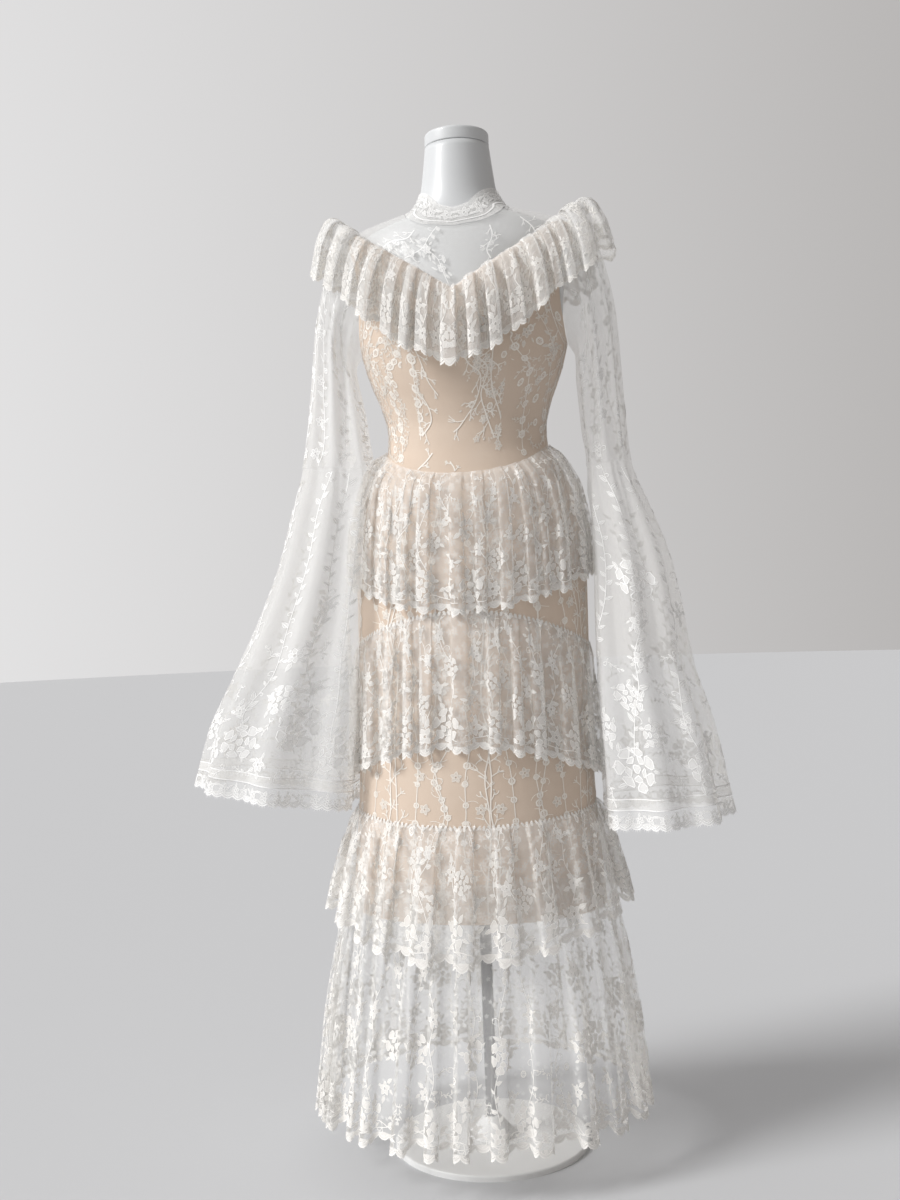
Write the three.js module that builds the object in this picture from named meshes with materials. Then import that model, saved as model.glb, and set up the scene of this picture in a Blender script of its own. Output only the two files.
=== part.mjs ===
// Long-sleeved lace wedding dress standing on its limbless dress form.
// Millimetres, +Z up, the dress faces -Y and the wearer's left is +X.
// The origin is the middle of the stand's underside, on the floor.
import * as THREE from 'three';

// Cloth and seams
const PANEL_WALL = 1.5;
const RUFFLE_WALL = 1.2;
const SLEEVE_WALL = 1.2;
const SEAM_GAP = 0.3;
const WAIST_SEAM_GAP = 0.7;
const COLLAR_SEAM_GAP = 0.7;
const LAID_ON_GAP = 0.5;

// Heights of the dress
const HEM_Z = 72;
const LINING_END_Z = 372;
const WAIST_Z = 1072;
const WAIST_FRONT_DIP = 46;
const WAIST_BACK_DIP = 12;
const ARMHOLE_BOTTOM_Z = 1225;
const SHOULDER_Z = 1409;
const V_POINT_Z = 1297;
const BACK_YOKE_Z = 1345;
const COLLAR_HEIGHT = 32;
const SKIRT_SWING = -10;

// Dress form and stand
const FORM_CLEARANCE = 3;
const COLLAR_HUG = 0.8;
const FORM_BOTTOM_Z = 790;
const NECK_TOP_Z = 1537;
const CAP_TOP_Z = 1558;
const CAP_EDGE_RADIUS = 8;
const POLE_RADIUS = 9;
const BASE_RADIUS = 150;
const BASE_THICKNESS = 9;
const HUB_RADIUS = 22;
const HUB_TOP_Z = 40;

// How finely the cloth is divided
const BODY_COLUMNS = 36;
const CENTRE_FRONT_COLUMNS = 8;
const SIDE_COLUMNS = 6;
const BACK_COLUMNS = 9;
const BODICE_ROWS = 10;
const ARMHOLE_ROWS = 6;
const YOKE_ROWS = 4;
const FLOUNCE_COLUMNS_PER_FOLD = 2;
const SLEEVE_COLUMNS_PER_FOLD = 3;

// The dress block: the inside of the fitted cloth at each height, as half its width
// and its reach to the front and to the back of the middle line.
const BLOCK = [
  { z: 300, halfWidth: 199, front: 155, back: 154 },
  { z: 372, halfWidth: 195, front: 150, back: 150 },
  { z: 450, halfWidth: 189, front: 145, back: 146 },
  { z: 536, halfWidth: 182, front: 139, back: 141 },
  { z: 650, halfWidth: 178, front: 132, back: 137 },
  { z: 766, halfWidth: 177, front: 126, back: 133 },
  { z: 850, halfWidth: 177, front: 122, back: 130 },
  { z: 930, halfWidth: 174, front: 116, back: 126 },
  { z: 1000, halfWidth: 159, front: 106, back: 113 },
  { z: 1040, halfWidth: 139, front: 96, back: 98 },
  { z: 1072, halfWidth: 122.5, front: 91, back: 88 },
  { z: 1100, halfWidth: 121, front: 90, back: 86 },
  { z: 1136, halfWidth: 129, front: 96, back: 89 },
  { z: 1170, halfWidth: 142, front: 106, back: 94 },
  { z: 1203, halfWidth: 153, front: 114, back: 98 },
  { z: 1245, halfWidth: 162, front: 119, back: 102 },
  { z: 1297, halfWidth: 169, front: 112, back: 104 },
  { z: 1340, halfWidth: 176, front: 101, back: 101 },
  { z: 1380, halfWidth: 182, front: 89, back: 95 },
  { z: 1400, halfWidth: 176, front: 81, back: 90 },
  { z: 1412, halfWidth: 156, front: 77, back: 86 },
  { z: 1422, halfWidth: 124, front: 73, back: 81 },
  { z: 1433, halfWidth: 84, front: 69, back: 76 },
  { z: 1445, halfWidth: 71, front: 65.5, back: 70 },
  { z: 1458, halfWidth: 64.5, front: 62.5, back: 65 },
  { z: 1475, halfWidth: 60.5, front: 59.5, back: 61 },
  { z: 1500, halfWidth: 57, front: 56.5, back: 57 },
  { z: 1537, halfWidth: 52.5, front: 52.5, back: 52.5 },
];

// The seam where the collar meets the yoke, from the middle front round to the middle back
const COLLAR_SEAM = [
  { angle: 0, z: 1395 },
  { angle: 15, z: 1402 },
  { angle: 26, z: 1413 },
  { angle: 42, z: 1424.5 },
  { angle: 63, z: 1431 },
  { angle: 90, z: 1433 },
  { angle: 180, z: 1438 },
];

// Tiers 1 to 3: how far the flounce stands off the block from its seam to its hem,
// and how deep its folds are there.
const TIER_1 = {
  folds: 28,
  topSide: 1068,
  topFront: 1022,
  topBack: 1056,
  hemSide: 882,
  hemFront: 828,
  hemBack: 862,
  profile: [
    { part: 0, stand: 4.3, fold: 0 },
    { part: 0.14, stand: 15, fold: 3.5 },
    { part: 0.5, stand: 10, fold: 4.5 },
    { part: 1, stand: 9, fold: 5.5 },
  ],
};
const TIER_2 = {
  folds: 24,
  topSide: 766,
  topFront: 824,
  topBack: 790,
  hemSide: 576,
  hemFront: 628,
  hemBack: 596,
  profile: [
    { part: 0, stand: 3.7, fold: 0 },
    { part: 0.12, stand: 8, fold: 3 },
    { part: 1, stand: 10, fold: 6.5 },
  ],
};
const TIER_3 = {
  folds: 24,
  topSide: 527,
  topFront: 511,
  topBack: 520,
  hemSide: 388,
  hemFront: 326,
  hemBack: 372,
  profile: [
    { part: 0, stand: 3.7, fold: 0 },
    { part: 0.16, stand: 13, fold: 3.5 },
    { part: 0.5, stand: 21, fold: 6 },
    { part: 1, stand: 31, fold: 8 },
  ],
};

// Tier 4, the bottom flounce: its own sections, from its seam on the lining to the hem
const TIER_4_SEAM_Z = 430;
const TIER_4_FOLDS = 40;
const TIER_4 = [
  { z: 385, halfWidth: 206, front: 160, back: 161, fold: 2 },
  { z: 320, halfWidth: 220, front: 170, back: 173, fold: 4.5 },
  { z: 230, halfWidth: 232, front: 193, back: 196, fold: 8 },
  { z: 150, halfWidth: 239, front: 213, back: 214, fold: 10 },
  { z: HEM_Z, halfWidth: 245, front: 231, back: 231, fold: 12 },
];

// Neck ruffle: place is 0 at the middle front, 1 at the shoulder and 2 at the middle back.
// The cloth rises to a crest, then drops to its free edge, turned to the side by heading.
const NECK_RUFFLE_FOLDS = 42;
const NECK_RUFFLE = [
  { place: 0, stand: 3.4, heading: 0, crestOut: 8, crestUp: -8, edgeOut: 22, drop: 104 },
  { place: 0.15, stand: 3.4, heading: 20, crestOut: 9, crestUp: -8, edgeOut: 24, drop: 113 },
  { place: 0.3, stand: 3.4, heading: 34, crestOut: 10, crestUp: -7, edgeOut: 27, drop: 116 },
  { place: 0.42, stand: 3.4, heading: 42, crestOut: 11, crestUp: -6, edgeOut: 31, drop: 110 },
  { place: 0.6, stand: 3.4, heading: 50, crestOut: 13, crestUp: -4, edgeOut: 37, drop: 97 },
  { place: 0.8, stand: 4, heading: 56, crestOut: 19, crestUp: 4, edgeOut: 48, drop: 86 },
  { place: 0.92, stand: 6.4, heading: 62, crestOut: 27, crestUp: 14, edgeOut: 60, drop: 68 },
  { place: 1, stand: 8.5, heading: 90, crestOut: 36, crestUp: 22, edgeOut: 66, drop: 50 },
  { place: 1.08, stand: 6.4, heading: 118, crestOut: 27, crestUp: 14, edgeOut: 60, drop: 66 },
  { place: 1.2, stand: 4, heading: 124, crestOut: 18, crestUp: 4, edgeOut: 48, drop: 84 },
  { place: 1.5, stand: 3.4, heading: 148, crestOut: 12, crestUp: -5, edgeOut: 32, drop: 92 },
  { place: 2, stand: 3.4, heading: 180, crestOut: 8, crestUp: -8, edgeOut: 22, drop: 96 },
];
const NECK_RUFFLE_FOLD_DEPTHS = [0, 4, 8, 10];
const BELLY_OUT_SHARE = 0.66;
const BELLY_DOWN_SHARE = 0.42;

// Sleeves from the armhole down: the outer and inner end of each ring, seen from the front,
// with the middle and half of its depth. Ring 0 is the armhole itself.
const ARMHOLE_HALF_DEPTH = 50;
const SLEEVE_FOLDS = 8;
const ELBOW_RING = 7;
const RIGHT_SLEEVE = [
  { outerX: 196, outerZ: 1396, innerX: 166, innerZ: 1217, midY: -1, halfDepth: 47, fold: 1 },
  { outerX: 209, outerZ: 1362, innerX: 172, innerZ: 1206, midY: -3, halfDepth: 43, fold: 1.5 },
  { outerX: 220, outerZ: 1316, innerX: 172, innerZ: 1190, midY: -6, halfDepth: 41, fold: 2 },
  { outerX: 229, outerZ: 1262, innerX: 166, innerZ: 1168, midY: -10, halfDepth: 40, fold: 2.5 },
  { outerX: 234, outerZ: 1198, innerX: 158, innerZ: 1136, midY: -18, halfDepth: 38, fold: 2.5 },
  { outerX: 239, outerZ: 1128, innerX: 150, innerZ: 1092, midY: -30, halfDepth: 36, fold: 2.5 },
  { outerX: 248, outerZ: 1050, innerX: 140, innerZ: 1043, midY: -46, halfDepth: 35, fold: 2 },
  { outerX: 266, outerZ: 976, innerX: 138, innerZ: 972, midY: -54, halfDepth: 43, fold: 4 },
  { outerX: 286, outerZ: 903, innerX: 142, innerZ: 898, midY: -56, halfDepth: 53, fold: 5 },
  { outerX: 314, outerZ: 836, innerX: 147, innerZ: 826, midY: -52, halfDepth: 62, fold: 6 },
  { outerX: 362, outerZ: 742, innerX: 153, innerZ: 728, midY: -46, halfDepth: 72, fold: 7 },
  { outerX: 410, outerZ: 650, innerX: 160, innerZ: 636, midY: -38, halfDepth: 82, fold: 8.5 },
  { outerX: 432, outerZ: 588, innerX: 168, innerZ: 552, midY: -30, halfDepth: 88, fold: 9 },
];
const LEFT_SLEEVE = [
  { outerX: 196, outerZ: 1396, innerX: 166, innerZ: 1217, midY: 0, halfDepth: 47, fold: 1 },
  { outerX: 210, outerZ: 1366, innerX: 172, innerZ: 1206, midY: 0, halfDepth: 43, fold: 1.5 },
  { outerX: 222, outerZ: 1322, innerX: 173, innerZ: 1190, midY: 0, halfDepth: 43, fold: 2 },
  { outerX: 231, outerZ: 1262, innerX: 173, innerZ: 1170, midY: 2, halfDepth: 45, fold: 2.5 },
  { outerX: 235, outerZ: 1200, innerX: 175, innerZ: 1140, midY: 4, halfDepth: 47, fold: 2.5 },
  { outerX: 239, outerZ: 1124, innerX: 178, innerZ: 1094, midY: 6, halfDepth: 49, fold: 2.5 },
  { outerX: 247, outerZ: 1042, innerX: 184, innerZ: 1036, midY: 8, halfDepth: 50, fold: 2 },
  { outerX: 273, outerZ: 969, innerX: 182, innerZ: 965, midY: 6, halfDepth: 58, fold: 4 },
  { outerX: 296, outerZ: 902, innerX: 180, innerZ: 896, midY: 2, halfDepth: 68, fold: 5 },
  { outerX: 310, outerZ: 832, innerX: 180, innerZ: 826, midY: -4, halfDepth: 78, fold: 6 },
  { outerX: 324, outerZ: 738, innerX: 182, innerZ: 732, midY: -8, halfDepth: 92, fold: 7 },
  { outerX: 350, outerZ: 645, innerX: 184, innerZ: 638, midY: -10, halfDepth: 106, fold: 8.5 },
  { outerX: 372, outerZ: 534, innerX: 186, innerZ: 524, midY: -10, halfDepth: 116, fold: 9 },
];
const SLEEVE_TRIM_DEPTH = 22;
const ARMHOLE_GAP = 1;
const SHOULDER_LIFT = 2;

// How far the sleeves keep from the block, so that they clear the tiers beside them
const SLEEVE_KEEPS_OFF = [
  { z: 480, reach: 26 },
  { z: 530, reach: 19 },
  { z: 940, reach: 19 },
  { z: 1045, reach: 25 },
  { z: 1078, reach: 9 },
  { z: 1110, reach: 7 },
  { z: 1600, reach: 7 },
];

// How much narrower the form's sides are than the dress, at the arm plates
const FORM_SIDE_INSET = [
  { z: 1170, inset: 0 },
  { z: 1230, inset: 6 },
  { z: 1396, inset: 13.5 },
  { z: 1422, inset: 4 },
  { z: 1440, inset: 0 },
];

// Uneven sizes for the folds, taken in turn
const FOLD_SIZES = [1, 0.72, 1.18, 0.86, 0.6, 1.1, 0.8, 1.25, 0.68, 0.95, 1.12];

// Colours and finishes
const FINISHES = {
  lace: { color: 0xe9e6e2, roughness: 0.85, metalness: 0 },
  nude: { color: 0xd8c3ae, roughness: 0.8, metalness: 0 },
  form: { color: 0xe4e6e7, roughness: 0.45, metalness: 0 },
  pole: { color: 0x9a9a9c, roughness: 0.35, metalness: 0.8 },
  base: { color: 0xdcdcdc, roughness: 0.5, metalness: 0.1 },
};

const dress = new THREE.Group();
const toRadians = THREE.MathUtils.degToRad;
const mix = THREE.MathUtils.lerp;

function addPiece(name, geometry, finish) {
  const mesh = new THREE.Mesh(geometry, new THREE.MeshStandardMaterial(FINISHES[finish]));
  mesh.name = name;
  dress.add(mesh);
}

// Tables

// Slope of a table's column at a row, flat at its highs and lows so that nothing overshoots
function slopeAt(table, key, column, row) {
  if (row === 0 || row === table.length - 1) {
    const first = row === 0 ? 0 : row - 1;
    return (table[first + 1][column] - table[first][column]) / (table[first + 1][key] - table[first][key]);
  }
  const before = (table[row][column] - table[row - 1][column]) / (table[row][key] - table[row - 1][key]);
  const after = (table[row + 1][column] - table[row][column]) / (table[row + 1][key] - table[row][key]);
  return before * after <= 0 ? 0 : (2 * before * after) / (before + after);
}

// A table's column read at any place along its key, on a smooth curve through the rows
function readTable(table, key, column, at) {
  const last = table.length - 1;
  if (at <= table[0][key]) return table[0][column];
  if (at >= table[last][key]) return table[last][column];
  let row = 0;
  while (table[row + 1][key] < at) row += 1;
  const span = table[row + 1][key] - table[row][key];
  const t = (at - table[row][key]) / span;
  const startSlope = slopeAt(table, key, column, row) * span;
  const endSlope = slopeAt(table, key, column, row + 1) * span;
  const start = table[row][column];
  const end = table[row + 1][column];
  const bend = 2 * (start - end) + startSlope + endSlope;
  const curve = 3 * (end - start) - 2 * startSlope - endSlope;
  return ((bend * t + curve) * t + startSlope) * t + start;
}

// The dress block's surface

// The skirt hangs a little to one side of the stand
function swingAt(z) {
  const below = THREE.MathUtils.clamp((WAIST_Z - z) / (WAIST_Z - HEM_Z), 0, 1);
  return SKIRT_SWING * below;
}

// A point on an oval section: angle 0 is the middle front and 90 the wearer's left side
function ovalPoint(angle, z, halfWidth, front, back) {
  const turn = toRadians(angle);
  const depth = Math.cos(turn) > 0 ? front : back;
  return new THREE.Vector3(halfWidth * Math.sin(turn) + swingAt(z), -depth * Math.cos(turn), z);
}

function blockPoint(angle, z) {
  const halfWidth = readTable(BLOCK, 'z', 'halfWidth', z);
  const front = readTable(BLOCK, 'z', 'front', z);
  const back = readTable(BLOCK, 'z', 'back', z);
  return ovalPoint(angle, z, halfWidth, front, back);
}

// The outward direction of the block, from two short steps along it
function blockNormal(angle, z) {
  const angleStep = 1;
  const heightStep = 3;
  const around = blockPoint(angle + angleStep, z).sub(blockPoint(angle - angleStep, z));
  const upward = blockPoint(angle, z + heightStep).sub(blockPoint(angle, z - heightStep));
  return around.cross(upward).normalize();
}

function offBlock(angle, z, distance) {
  return blockPoint(angle, z).addScaledVector(blockNormal(angle, z), distance);
}

// Walls

// A closed wall between two grids of points, rows running down and columns round the body.
// A ring joins its last column to its first.
function wallBetween(outer, inner, ring) {
  const rows = outer.length;
  const columns = outer[0].length;
  const positions = [];
  const indices = [];
  for (const grid of [outer, inner]) {
    for (const row of grid) {
      for (const point of row) positions.push(point.x, point.y, point.z);
    }
  }
  const outerAt = (row, column) => row * columns + (column % columns);
  const innerAt = (row, column) => rows * columns + outerAt(row, column);
  const quad = (a, b, c, d) => indices.push(a, b, c, a, c, d);
  const cells = ring ? columns : columns - 1;
  for (let column = 0; column < cells; column += 1) {
    const next = column + 1;
    for (let row = 0; row < rows - 1; row += 1) {
      quad(outerAt(row, column), outerAt(row + 1, column), outerAt(row + 1, next), outerAt(row, next));
      quad(innerAt(row, column), innerAt(row, next), innerAt(row + 1, next), innerAt(row + 1, column));
    }
    const end = rows - 1;
    quad(outerAt(0, column), outerAt(0, next), innerAt(0, next), innerAt(0, column));
    quad(outerAt(end, column), innerAt(end, column), innerAt(end, next), outerAt(end, next));
  }
  if (!ring) {
    const last = columns - 1;
    for (let row = 0; row < rows - 1; row += 1) {
      quad(outerAt(row, 0), innerAt(row, 0), innerAt(row + 1, 0), outerAt(row + 1, 0));
      quad(outerAt(row, last), outerAt(row + 1, last), innerAt(row + 1, last), innerAt(row, last));
    }
  }
  const geometry = new THREE.BufferGeometry();
  geometry.setAttribute('position', new THREE.Float32BufferAttribute(positions, 3));
  geometry.setIndex(indices);
  geometry.computeVertexNormals();
  return geometry;
}

// The outward direction at each point of a grid, from its neighbours
function gridNormals(grid, ring) {
  const rows = grid.length;
  const columns = grid[0].length;
  const columnAt = (column) => {
    if (ring) return (column + columns) % columns;
    return THREE.MathUtils.clamp(column, 0, columns - 1);
  };
  return grid.map((row, r) => row.map((point, c) => {
    const around = row[columnAt(c + 1)].clone().sub(row[columnAt(c - 1)]);
    const above = grid[Math.max(r - 1, 0)][c];
    const below = grid[Math.min(r + 1, rows - 1)][c];
    return around.cross(above.clone().sub(below)).normalize();
  }));
}

function moveGrid(grid, normals, distance) {
  return grid.map((row, r) => row.map((point, c) => (
    point.clone().addScaledVector(normals[r][c], distance(r, c))
  )));
}

// A sheet thickened inward from its outer face
function sheetWall(outer, wall, ring) {
  const inner = moveGrid(outer, gridNormals(outer, ring), () => -wall);
  return wallBetween(outer, inner, ring);
}

// The height of a fold at a column: a ridge, then a shallower trough
const TROUGH_SHARE = 0.6;

function foldAt(column, columnsPerFold) {
  const size = FOLD_SIZES[Math.floor(column / columnsPerFold) % FOLD_SIZES.length];
  return column % columnsPerFold === 0 ? size : -TROUGH_SHARE * size;
}

function flounceFold(column) {
  return foldAt(column, FLOUNCE_COLUMNS_PER_FOLD);
}

// A fraction round the body, warped a little so that the folds are unevenly spaced
function unevenTurn(fraction) {
  const warp = 0.004;
  const waves = 7;
  return fraction + warp * Math.sin(2 * Math.PI * waves * fraction);
}

// A height that differs at the front, sides and back of the body
function heightRound(angle, front, side, back) {
  const toward = Math.cos(toRadians(angle));
  const share = Math.abs(toward) ** 1.5;
  return mix(side, toward > 0 ? front : back, share);
}

// Seam lines of the fitted cloth, each point an angle and a height on the block

function waistLine(angle) {
  return heightRound(angle, WAIST_Z - WAIST_FRONT_DIP, WAIST_Z, WAIST_Z - WAIST_BACK_DIP);
}

function collarLine(angle) {
  return readTable(COLLAR_SEAM, 'angle', 'z', Math.abs(angle));
}

// The angle at which the block reaches a distance to the side at a height
function angleAtWidth(x, z, behind) {
  const halfWidth = readTable(BLOCK, 'z', 'halfWidth', z);
  const angle = THREE.MathUtils.radToDeg(Math.asin(THREE.MathUtils.clamp(x / halfWidth, -1, 1)));
  return behind ? 180 - angle : angle;
}

// The yoke's lower seam: place is 0 at the middle front, 1 at the shoulder, 2 at the middle back
function yokeSeam(place) {
  const side = Math.sign(place);
  const along = Math.abs(place);
  const shoulderX = readTable(BLOCK, 'z', 'halfWidth', SHOULDER_Z);
  if (along <= 1) {
    const z = mix(V_POINT_Z, SHOULDER_Z, along);
    return { angle: side * angleAtWidth(shoulderX * along, z, false), z };
  }
  const z = mix(SHOULDER_Z, BACK_YOKE_Z, along - 1);
  return { angle: side * angleAtWidth(shoulderX * (2 - along), z, true), z };
}

// The armhole's edge: turn is 0 at the shoulder and 180 at the underarm
function armholePlace(turn, behind) {
  const middle = (SHOULDER_Z + ARMHOLE_BOTTOM_Z) / 2;
  const halfHeight = (SHOULDER_Z - ARMHOLE_BOTTOM_Z) / 2;
  const z = middle + halfHeight * Math.cos(toRadians(turn));
  const y = ARMHOLE_HALF_DEPTH * Math.sin(toRadians(turn));
  const depth = readTable(BLOCK, 'z', behind ? 'back' : 'front', z);
  const angle = THREE.MathUtils.radToDeg(Math.acos(Math.min(y / depth, 1)));
  return { angle: behind ? 180 - angle : angle, z };
}

// Panels, each a patch between four seam lines on the block

// A straight blend of four edges: top and bottom run across, left and right run down
function patchPoint(edges, across, down) {
  const top = edges.top(across);
  const bottom = edges.bottom(across);
  const left = edges.left(down);
  const right = edges.right(down);
  const blend = (key) => mix(top[key], bottom[key], down) + mix(left[key], right[key], across)
    - mix(mix(edges.top(0)[key], edges.top(1)[key], across),
      mix(edges.bottom(0)[key], edges.bottom(1)[key], across), down);
  return { angle: blend('angle'), z: blend('z') };
}

// Moves a patch's border inward by half a seam, so that neighbours never touch
function trimmedPoint(place, across, down, trim) {
  const roundStep = blockPoint(place.angle + 1, place.z).distanceTo(blockPoint(place.angle, place.z));
  const sideways = (across === 0 ? trim.side : 0) - (across === 1 ? trim.side : 0);
  const height = (down === 1 ? trim.bottom : 0) - (down === 0 ? trim.top : 0);
  return { angle: place.angle + sideways / roundStep, z: place.z + height };
}

function panel(name, finish, edges, columns, rows, trim, stand = 0) {
  const outer = [];
  const inner = [];
  for (let row = 0; row <= rows; row += 1) {
    const places = [];
    for (let column = 0; column <= columns; column += 1) {
      const across = column / columns;
      const down = row / rows;
      places.push(trimmedPoint(patchPoint(edges, across, down), across, down, trim));
    }
    outer.push(places.map((place) => offBlock(place.angle, place.z, stand + PANEL_WALL)));
    inner.push(places.map((place) => offBlock(place.angle, place.z, stand)));
  }
  addPiece(name, wallBetween(outer, inner, false), finish);
}

const SEAM_TRIM = { side: SEAM_GAP / 2, top: SEAM_GAP / 2, bottom: SEAM_GAP / 2 };
const SIDE_TRIM = { side: SEAM_GAP / 2, top: 0, bottom: 0 };
const WAISTED_TRIM = { side: SEAM_GAP / 2, top: SEAM_GAP / 2, bottom: WAIST_SEAM_GAP };

// Mirrors four edges to the wearer's right
function mirrored(edges) {
  const flip = (place) => ({ angle: -place.angle, z: place.z });
  return {
    top: (across) => flip(edges.top(1 - across)),
    bottom: (across) => flip(edges.bottom(1 - across)),
    left: (down) => flip(edges.right(down)),
    right: (down) => flip(edges.left(down)),
  };
}

function addPair(name, finish, edges, columns, rows, trim) {
  panel(`${name}_left`, finish, edges, columns, rows, trim);
  panel(`${name}_right`, finish, mirrored(edges), columns, rows, trim);
}

// Where the princess seam leaves the yoke and where it meets the waist
const PRINCESS_TOP = 4 / 7;
const PRINCESS_WAIST_ANGLE = 31;

function princessSeam(down) {
  const top = yokeSeam(PRINCESS_TOP);
  const z = mix(top.z, waistLine(PRINCESS_WAIST_ANGLE), down);
  return { angle: mix(top.angle, PRINCESS_WAIST_ANGLE, down ** 0.8), z };
}

// The armhole and the side seam below it, from the shoulder to the waist
function sideLine(down, behind) {
  const armholeShare = ARMHOLE_ROWS / BODICE_ROWS;
  if (down <= armholeShare) return armholePlace(180 * (down / armholeShare), behind);
  const below = (down - armholeShare) / (1 - armholeShare);
  return { angle: 90, z: mix(ARMHOLE_BOTTOM_Z, WAIST_Z, below) };
}

function addBodice() {
  const centreFront = {
    top: (across) => yokeSeam(mix(-PRINCESS_TOP, PRINCESS_TOP, across)),
    bottom: (across) => {
      const angle = mix(-PRINCESS_WAIST_ANGLE, PRINCESS_WAIST_ANGLE, across);
      return { angle, z: waistLine(angle) };
    },
    left: (down) => ({ angle: -princessSeam(down).angle, z: princessSeam(down).z }),
    right: (down) => princessSeam(down),
  };
  panel('bodice_centre_front', 'nude', centreFront, CENTRE_FRONT_COLUMNS, BODICE_ROWS, WAISTED_TRIM);
  const sideFront = {
    top: (across) => yokeSeam(mix(PRINCESS_TOP, 1, across)),
    bottom: (across) => {
      const angle = mix(PRINCESS_WAIST_ANGLE, 90, across);
      return { angle, z: waistLine(angle) };
    },
    left: (down) => princessSeam(down),
    right: (down) => sideLine(down, false),
  };
  addPair('bodice_side_front', 'nude', sideFront, SIDE_COLUMNS, BODICE_ROWS, WAISTED_TRIM);
  const back = {
    top: (across) => yokeSeam(1 + across),
    bottom: (across) => {
      const angle = mix(90, 180, across);
      return { angle, z: waistLine(angle) };
    },
    left: (down) => sideLine(down, true),
    right: (down) => ({ angle: 180, z: mix(BACK_YOKE_Z, waistLine(180), down) }),
  };
  addPair('bodice_back', 'nude', back, BACK_COLUMNS, BODICE_ROWS, WAISTED_TRIM);
}

// Where the front bodice panels' columns meet the yoke, as shares of the way across.
// The yoke and the collar use the same places, so that their seams match.
function frontShares() {
  const princessShare = (1 - PRINCESS_TOP) / 2;
  const shares = [];
  for (let i = 0; i < SIDE_COLUMNS; i += 1) shares.push((i / SIDE_COLUMNS) * princessShare);
  for (let i = 0; i <= CENTRE_FRONT_COLUMNS; i += 1) {
    shares.push(mix(princessShare, 1 - princessShare, i / CENTRE_FRONT_COLUMNS));
  }
  for (let i = 1; i <= SIDE_COLUMNS; i += 1) shares.push(mix(1 - princessShare, 1, i / SIDE_COLUMNS));
  return shares;
}

function addYoke() {
  const shoulderSeam = (down) => ({ angle: 90, z: mix(collarLine(90), SHOULDER_Z, down) });
  const front = {
    top: (across) => {
      const angle = mix(-90, 90, across);
      return { angle, z: collarLine(angle) };
    },
    bottom: (across) => yokeSeam(2 * across - 1),
    left: (down) => ({ angle: -90, z: shoulderSeam(down).z }),
    right: shoulderSeam,
  };
  const shares = frontShares();
  const spread = (across) => shares[Math.round(across * (shares.length - 1))];
  const matched = {
    top: (across) => front.top(spread(across)),
    bottom: (across) => front.bottom(spread(across)),
    left: front.left,
    right: front.right,
  };
  panel('yoke_front', 'lace', matched, shares.length - 1, YOKE_ROWS, SEAM_TRIM);
  const back = {
    top: (across) => {
      const angle = mix(90, 180, across);
      return { angle, z: collarLine(angle) };
    },
    bottom: (across) => yokeSeam(1 + across),
    left: shoulderSeam,
    right: (down) => ({ angle: 180, z: mix(collarLine(180), BACK_YOKE_Z, down) }),
  };
  addPair('yoke_back', 'lace', back, BACK_COLUMNS, YOKE_ROWS, SEAM_TRIM);
}

// The stand collar hugs the neck at its top edge and is open at the middle back
function addCollar() {
  const topStand = -FORM_CLEARANCE + COLLAR_HUG;
  const rows = 2;
  const angles = frontShares().map((share) => mix(-90, 90, share));
  for (let i = 1; i <= BACK_COLUMNS; i += 1) {
    const past = (90 * i) / BACK_COLUMNS;
    angles.unshift(-90 - past);
    angles.push(90 + past);
  }
  angles[0] += SEAM_GAP / 2;
  angles[angles.length - 1] -= SEAM_GAP / 2;
  const outer = [];
  const inner = [];
  for (let row = 0; row <= rows; row += 1) {
    const down = row / rows;
    const stand = mix(topStand, 0, down);
    const outerRow = [];
    const innerRow = [];
    for (const angle of angles) {
      const z = collarLine(angle) + COLLAR_SEAM_GAP + COLLAR_HEIGHT * (1 - down);
      outerRow.push(offBlock(angle, z, stand + PANEL_WALL));
      innerRow.push(offBlock(angle, z, stand));
    }
    outer.push(outerRow);
    inner.push(innerRow);
  }
  addPiece('collar', wallBetween(outer, inner, false), 'lace');
}

// The lined skirt, in a front and two backs that meet at the middle back seam
const SKIRT_ROWS = [0, 0.035, 0.075, 0.12, 0.19, 0.32, 0.55, 0.78, 1];

function skirtPanel(name, fromAngle, toAngle, columns) {
  const outer = [];
  const inner = [];
  for (const down of SKIRT_ROWS) {
    const outerRow = [];
    const innerRow = [];
    for (let column = 0; column <= columns; column += 1) {
      const place = { angle: mix(fromAngle, toAngle, column / columns), z: 0 };
      place.z = mix(waistLine(place.angle), LINING_END_Z, down);
      const trimmed = trimmedPoint(place, column / columns, down, SIDE_TRIM);
      outerRow.push(offBlock(trimmed.angle, trimmed.z, PANEL_WALL));
      innerRow.push(offBlock(trimmed.angle, trimmed.z, 0));
    }
    outer.push(outerRow);
    inner.push(innerRow);
  }
  addPiece(name, wallBetween(outer, inner, false), 'nude');
}

function addSkirt() {
  skirtPanel('skirt_front', -90, 90, BODY_COLUMNS / 2);
  skirtPanel('skirt_back_left', 90, 180, BODY_COLUMNS / 4);
  skirtPanel('skirt_back_right', -180, -90, BODY_COLUMNS / 4);
}

// Tiers 1 to 3: gathered lace laid on the skirt, each ridge of the hem a little lower
const HEM_SCALLOP = 4;

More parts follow.
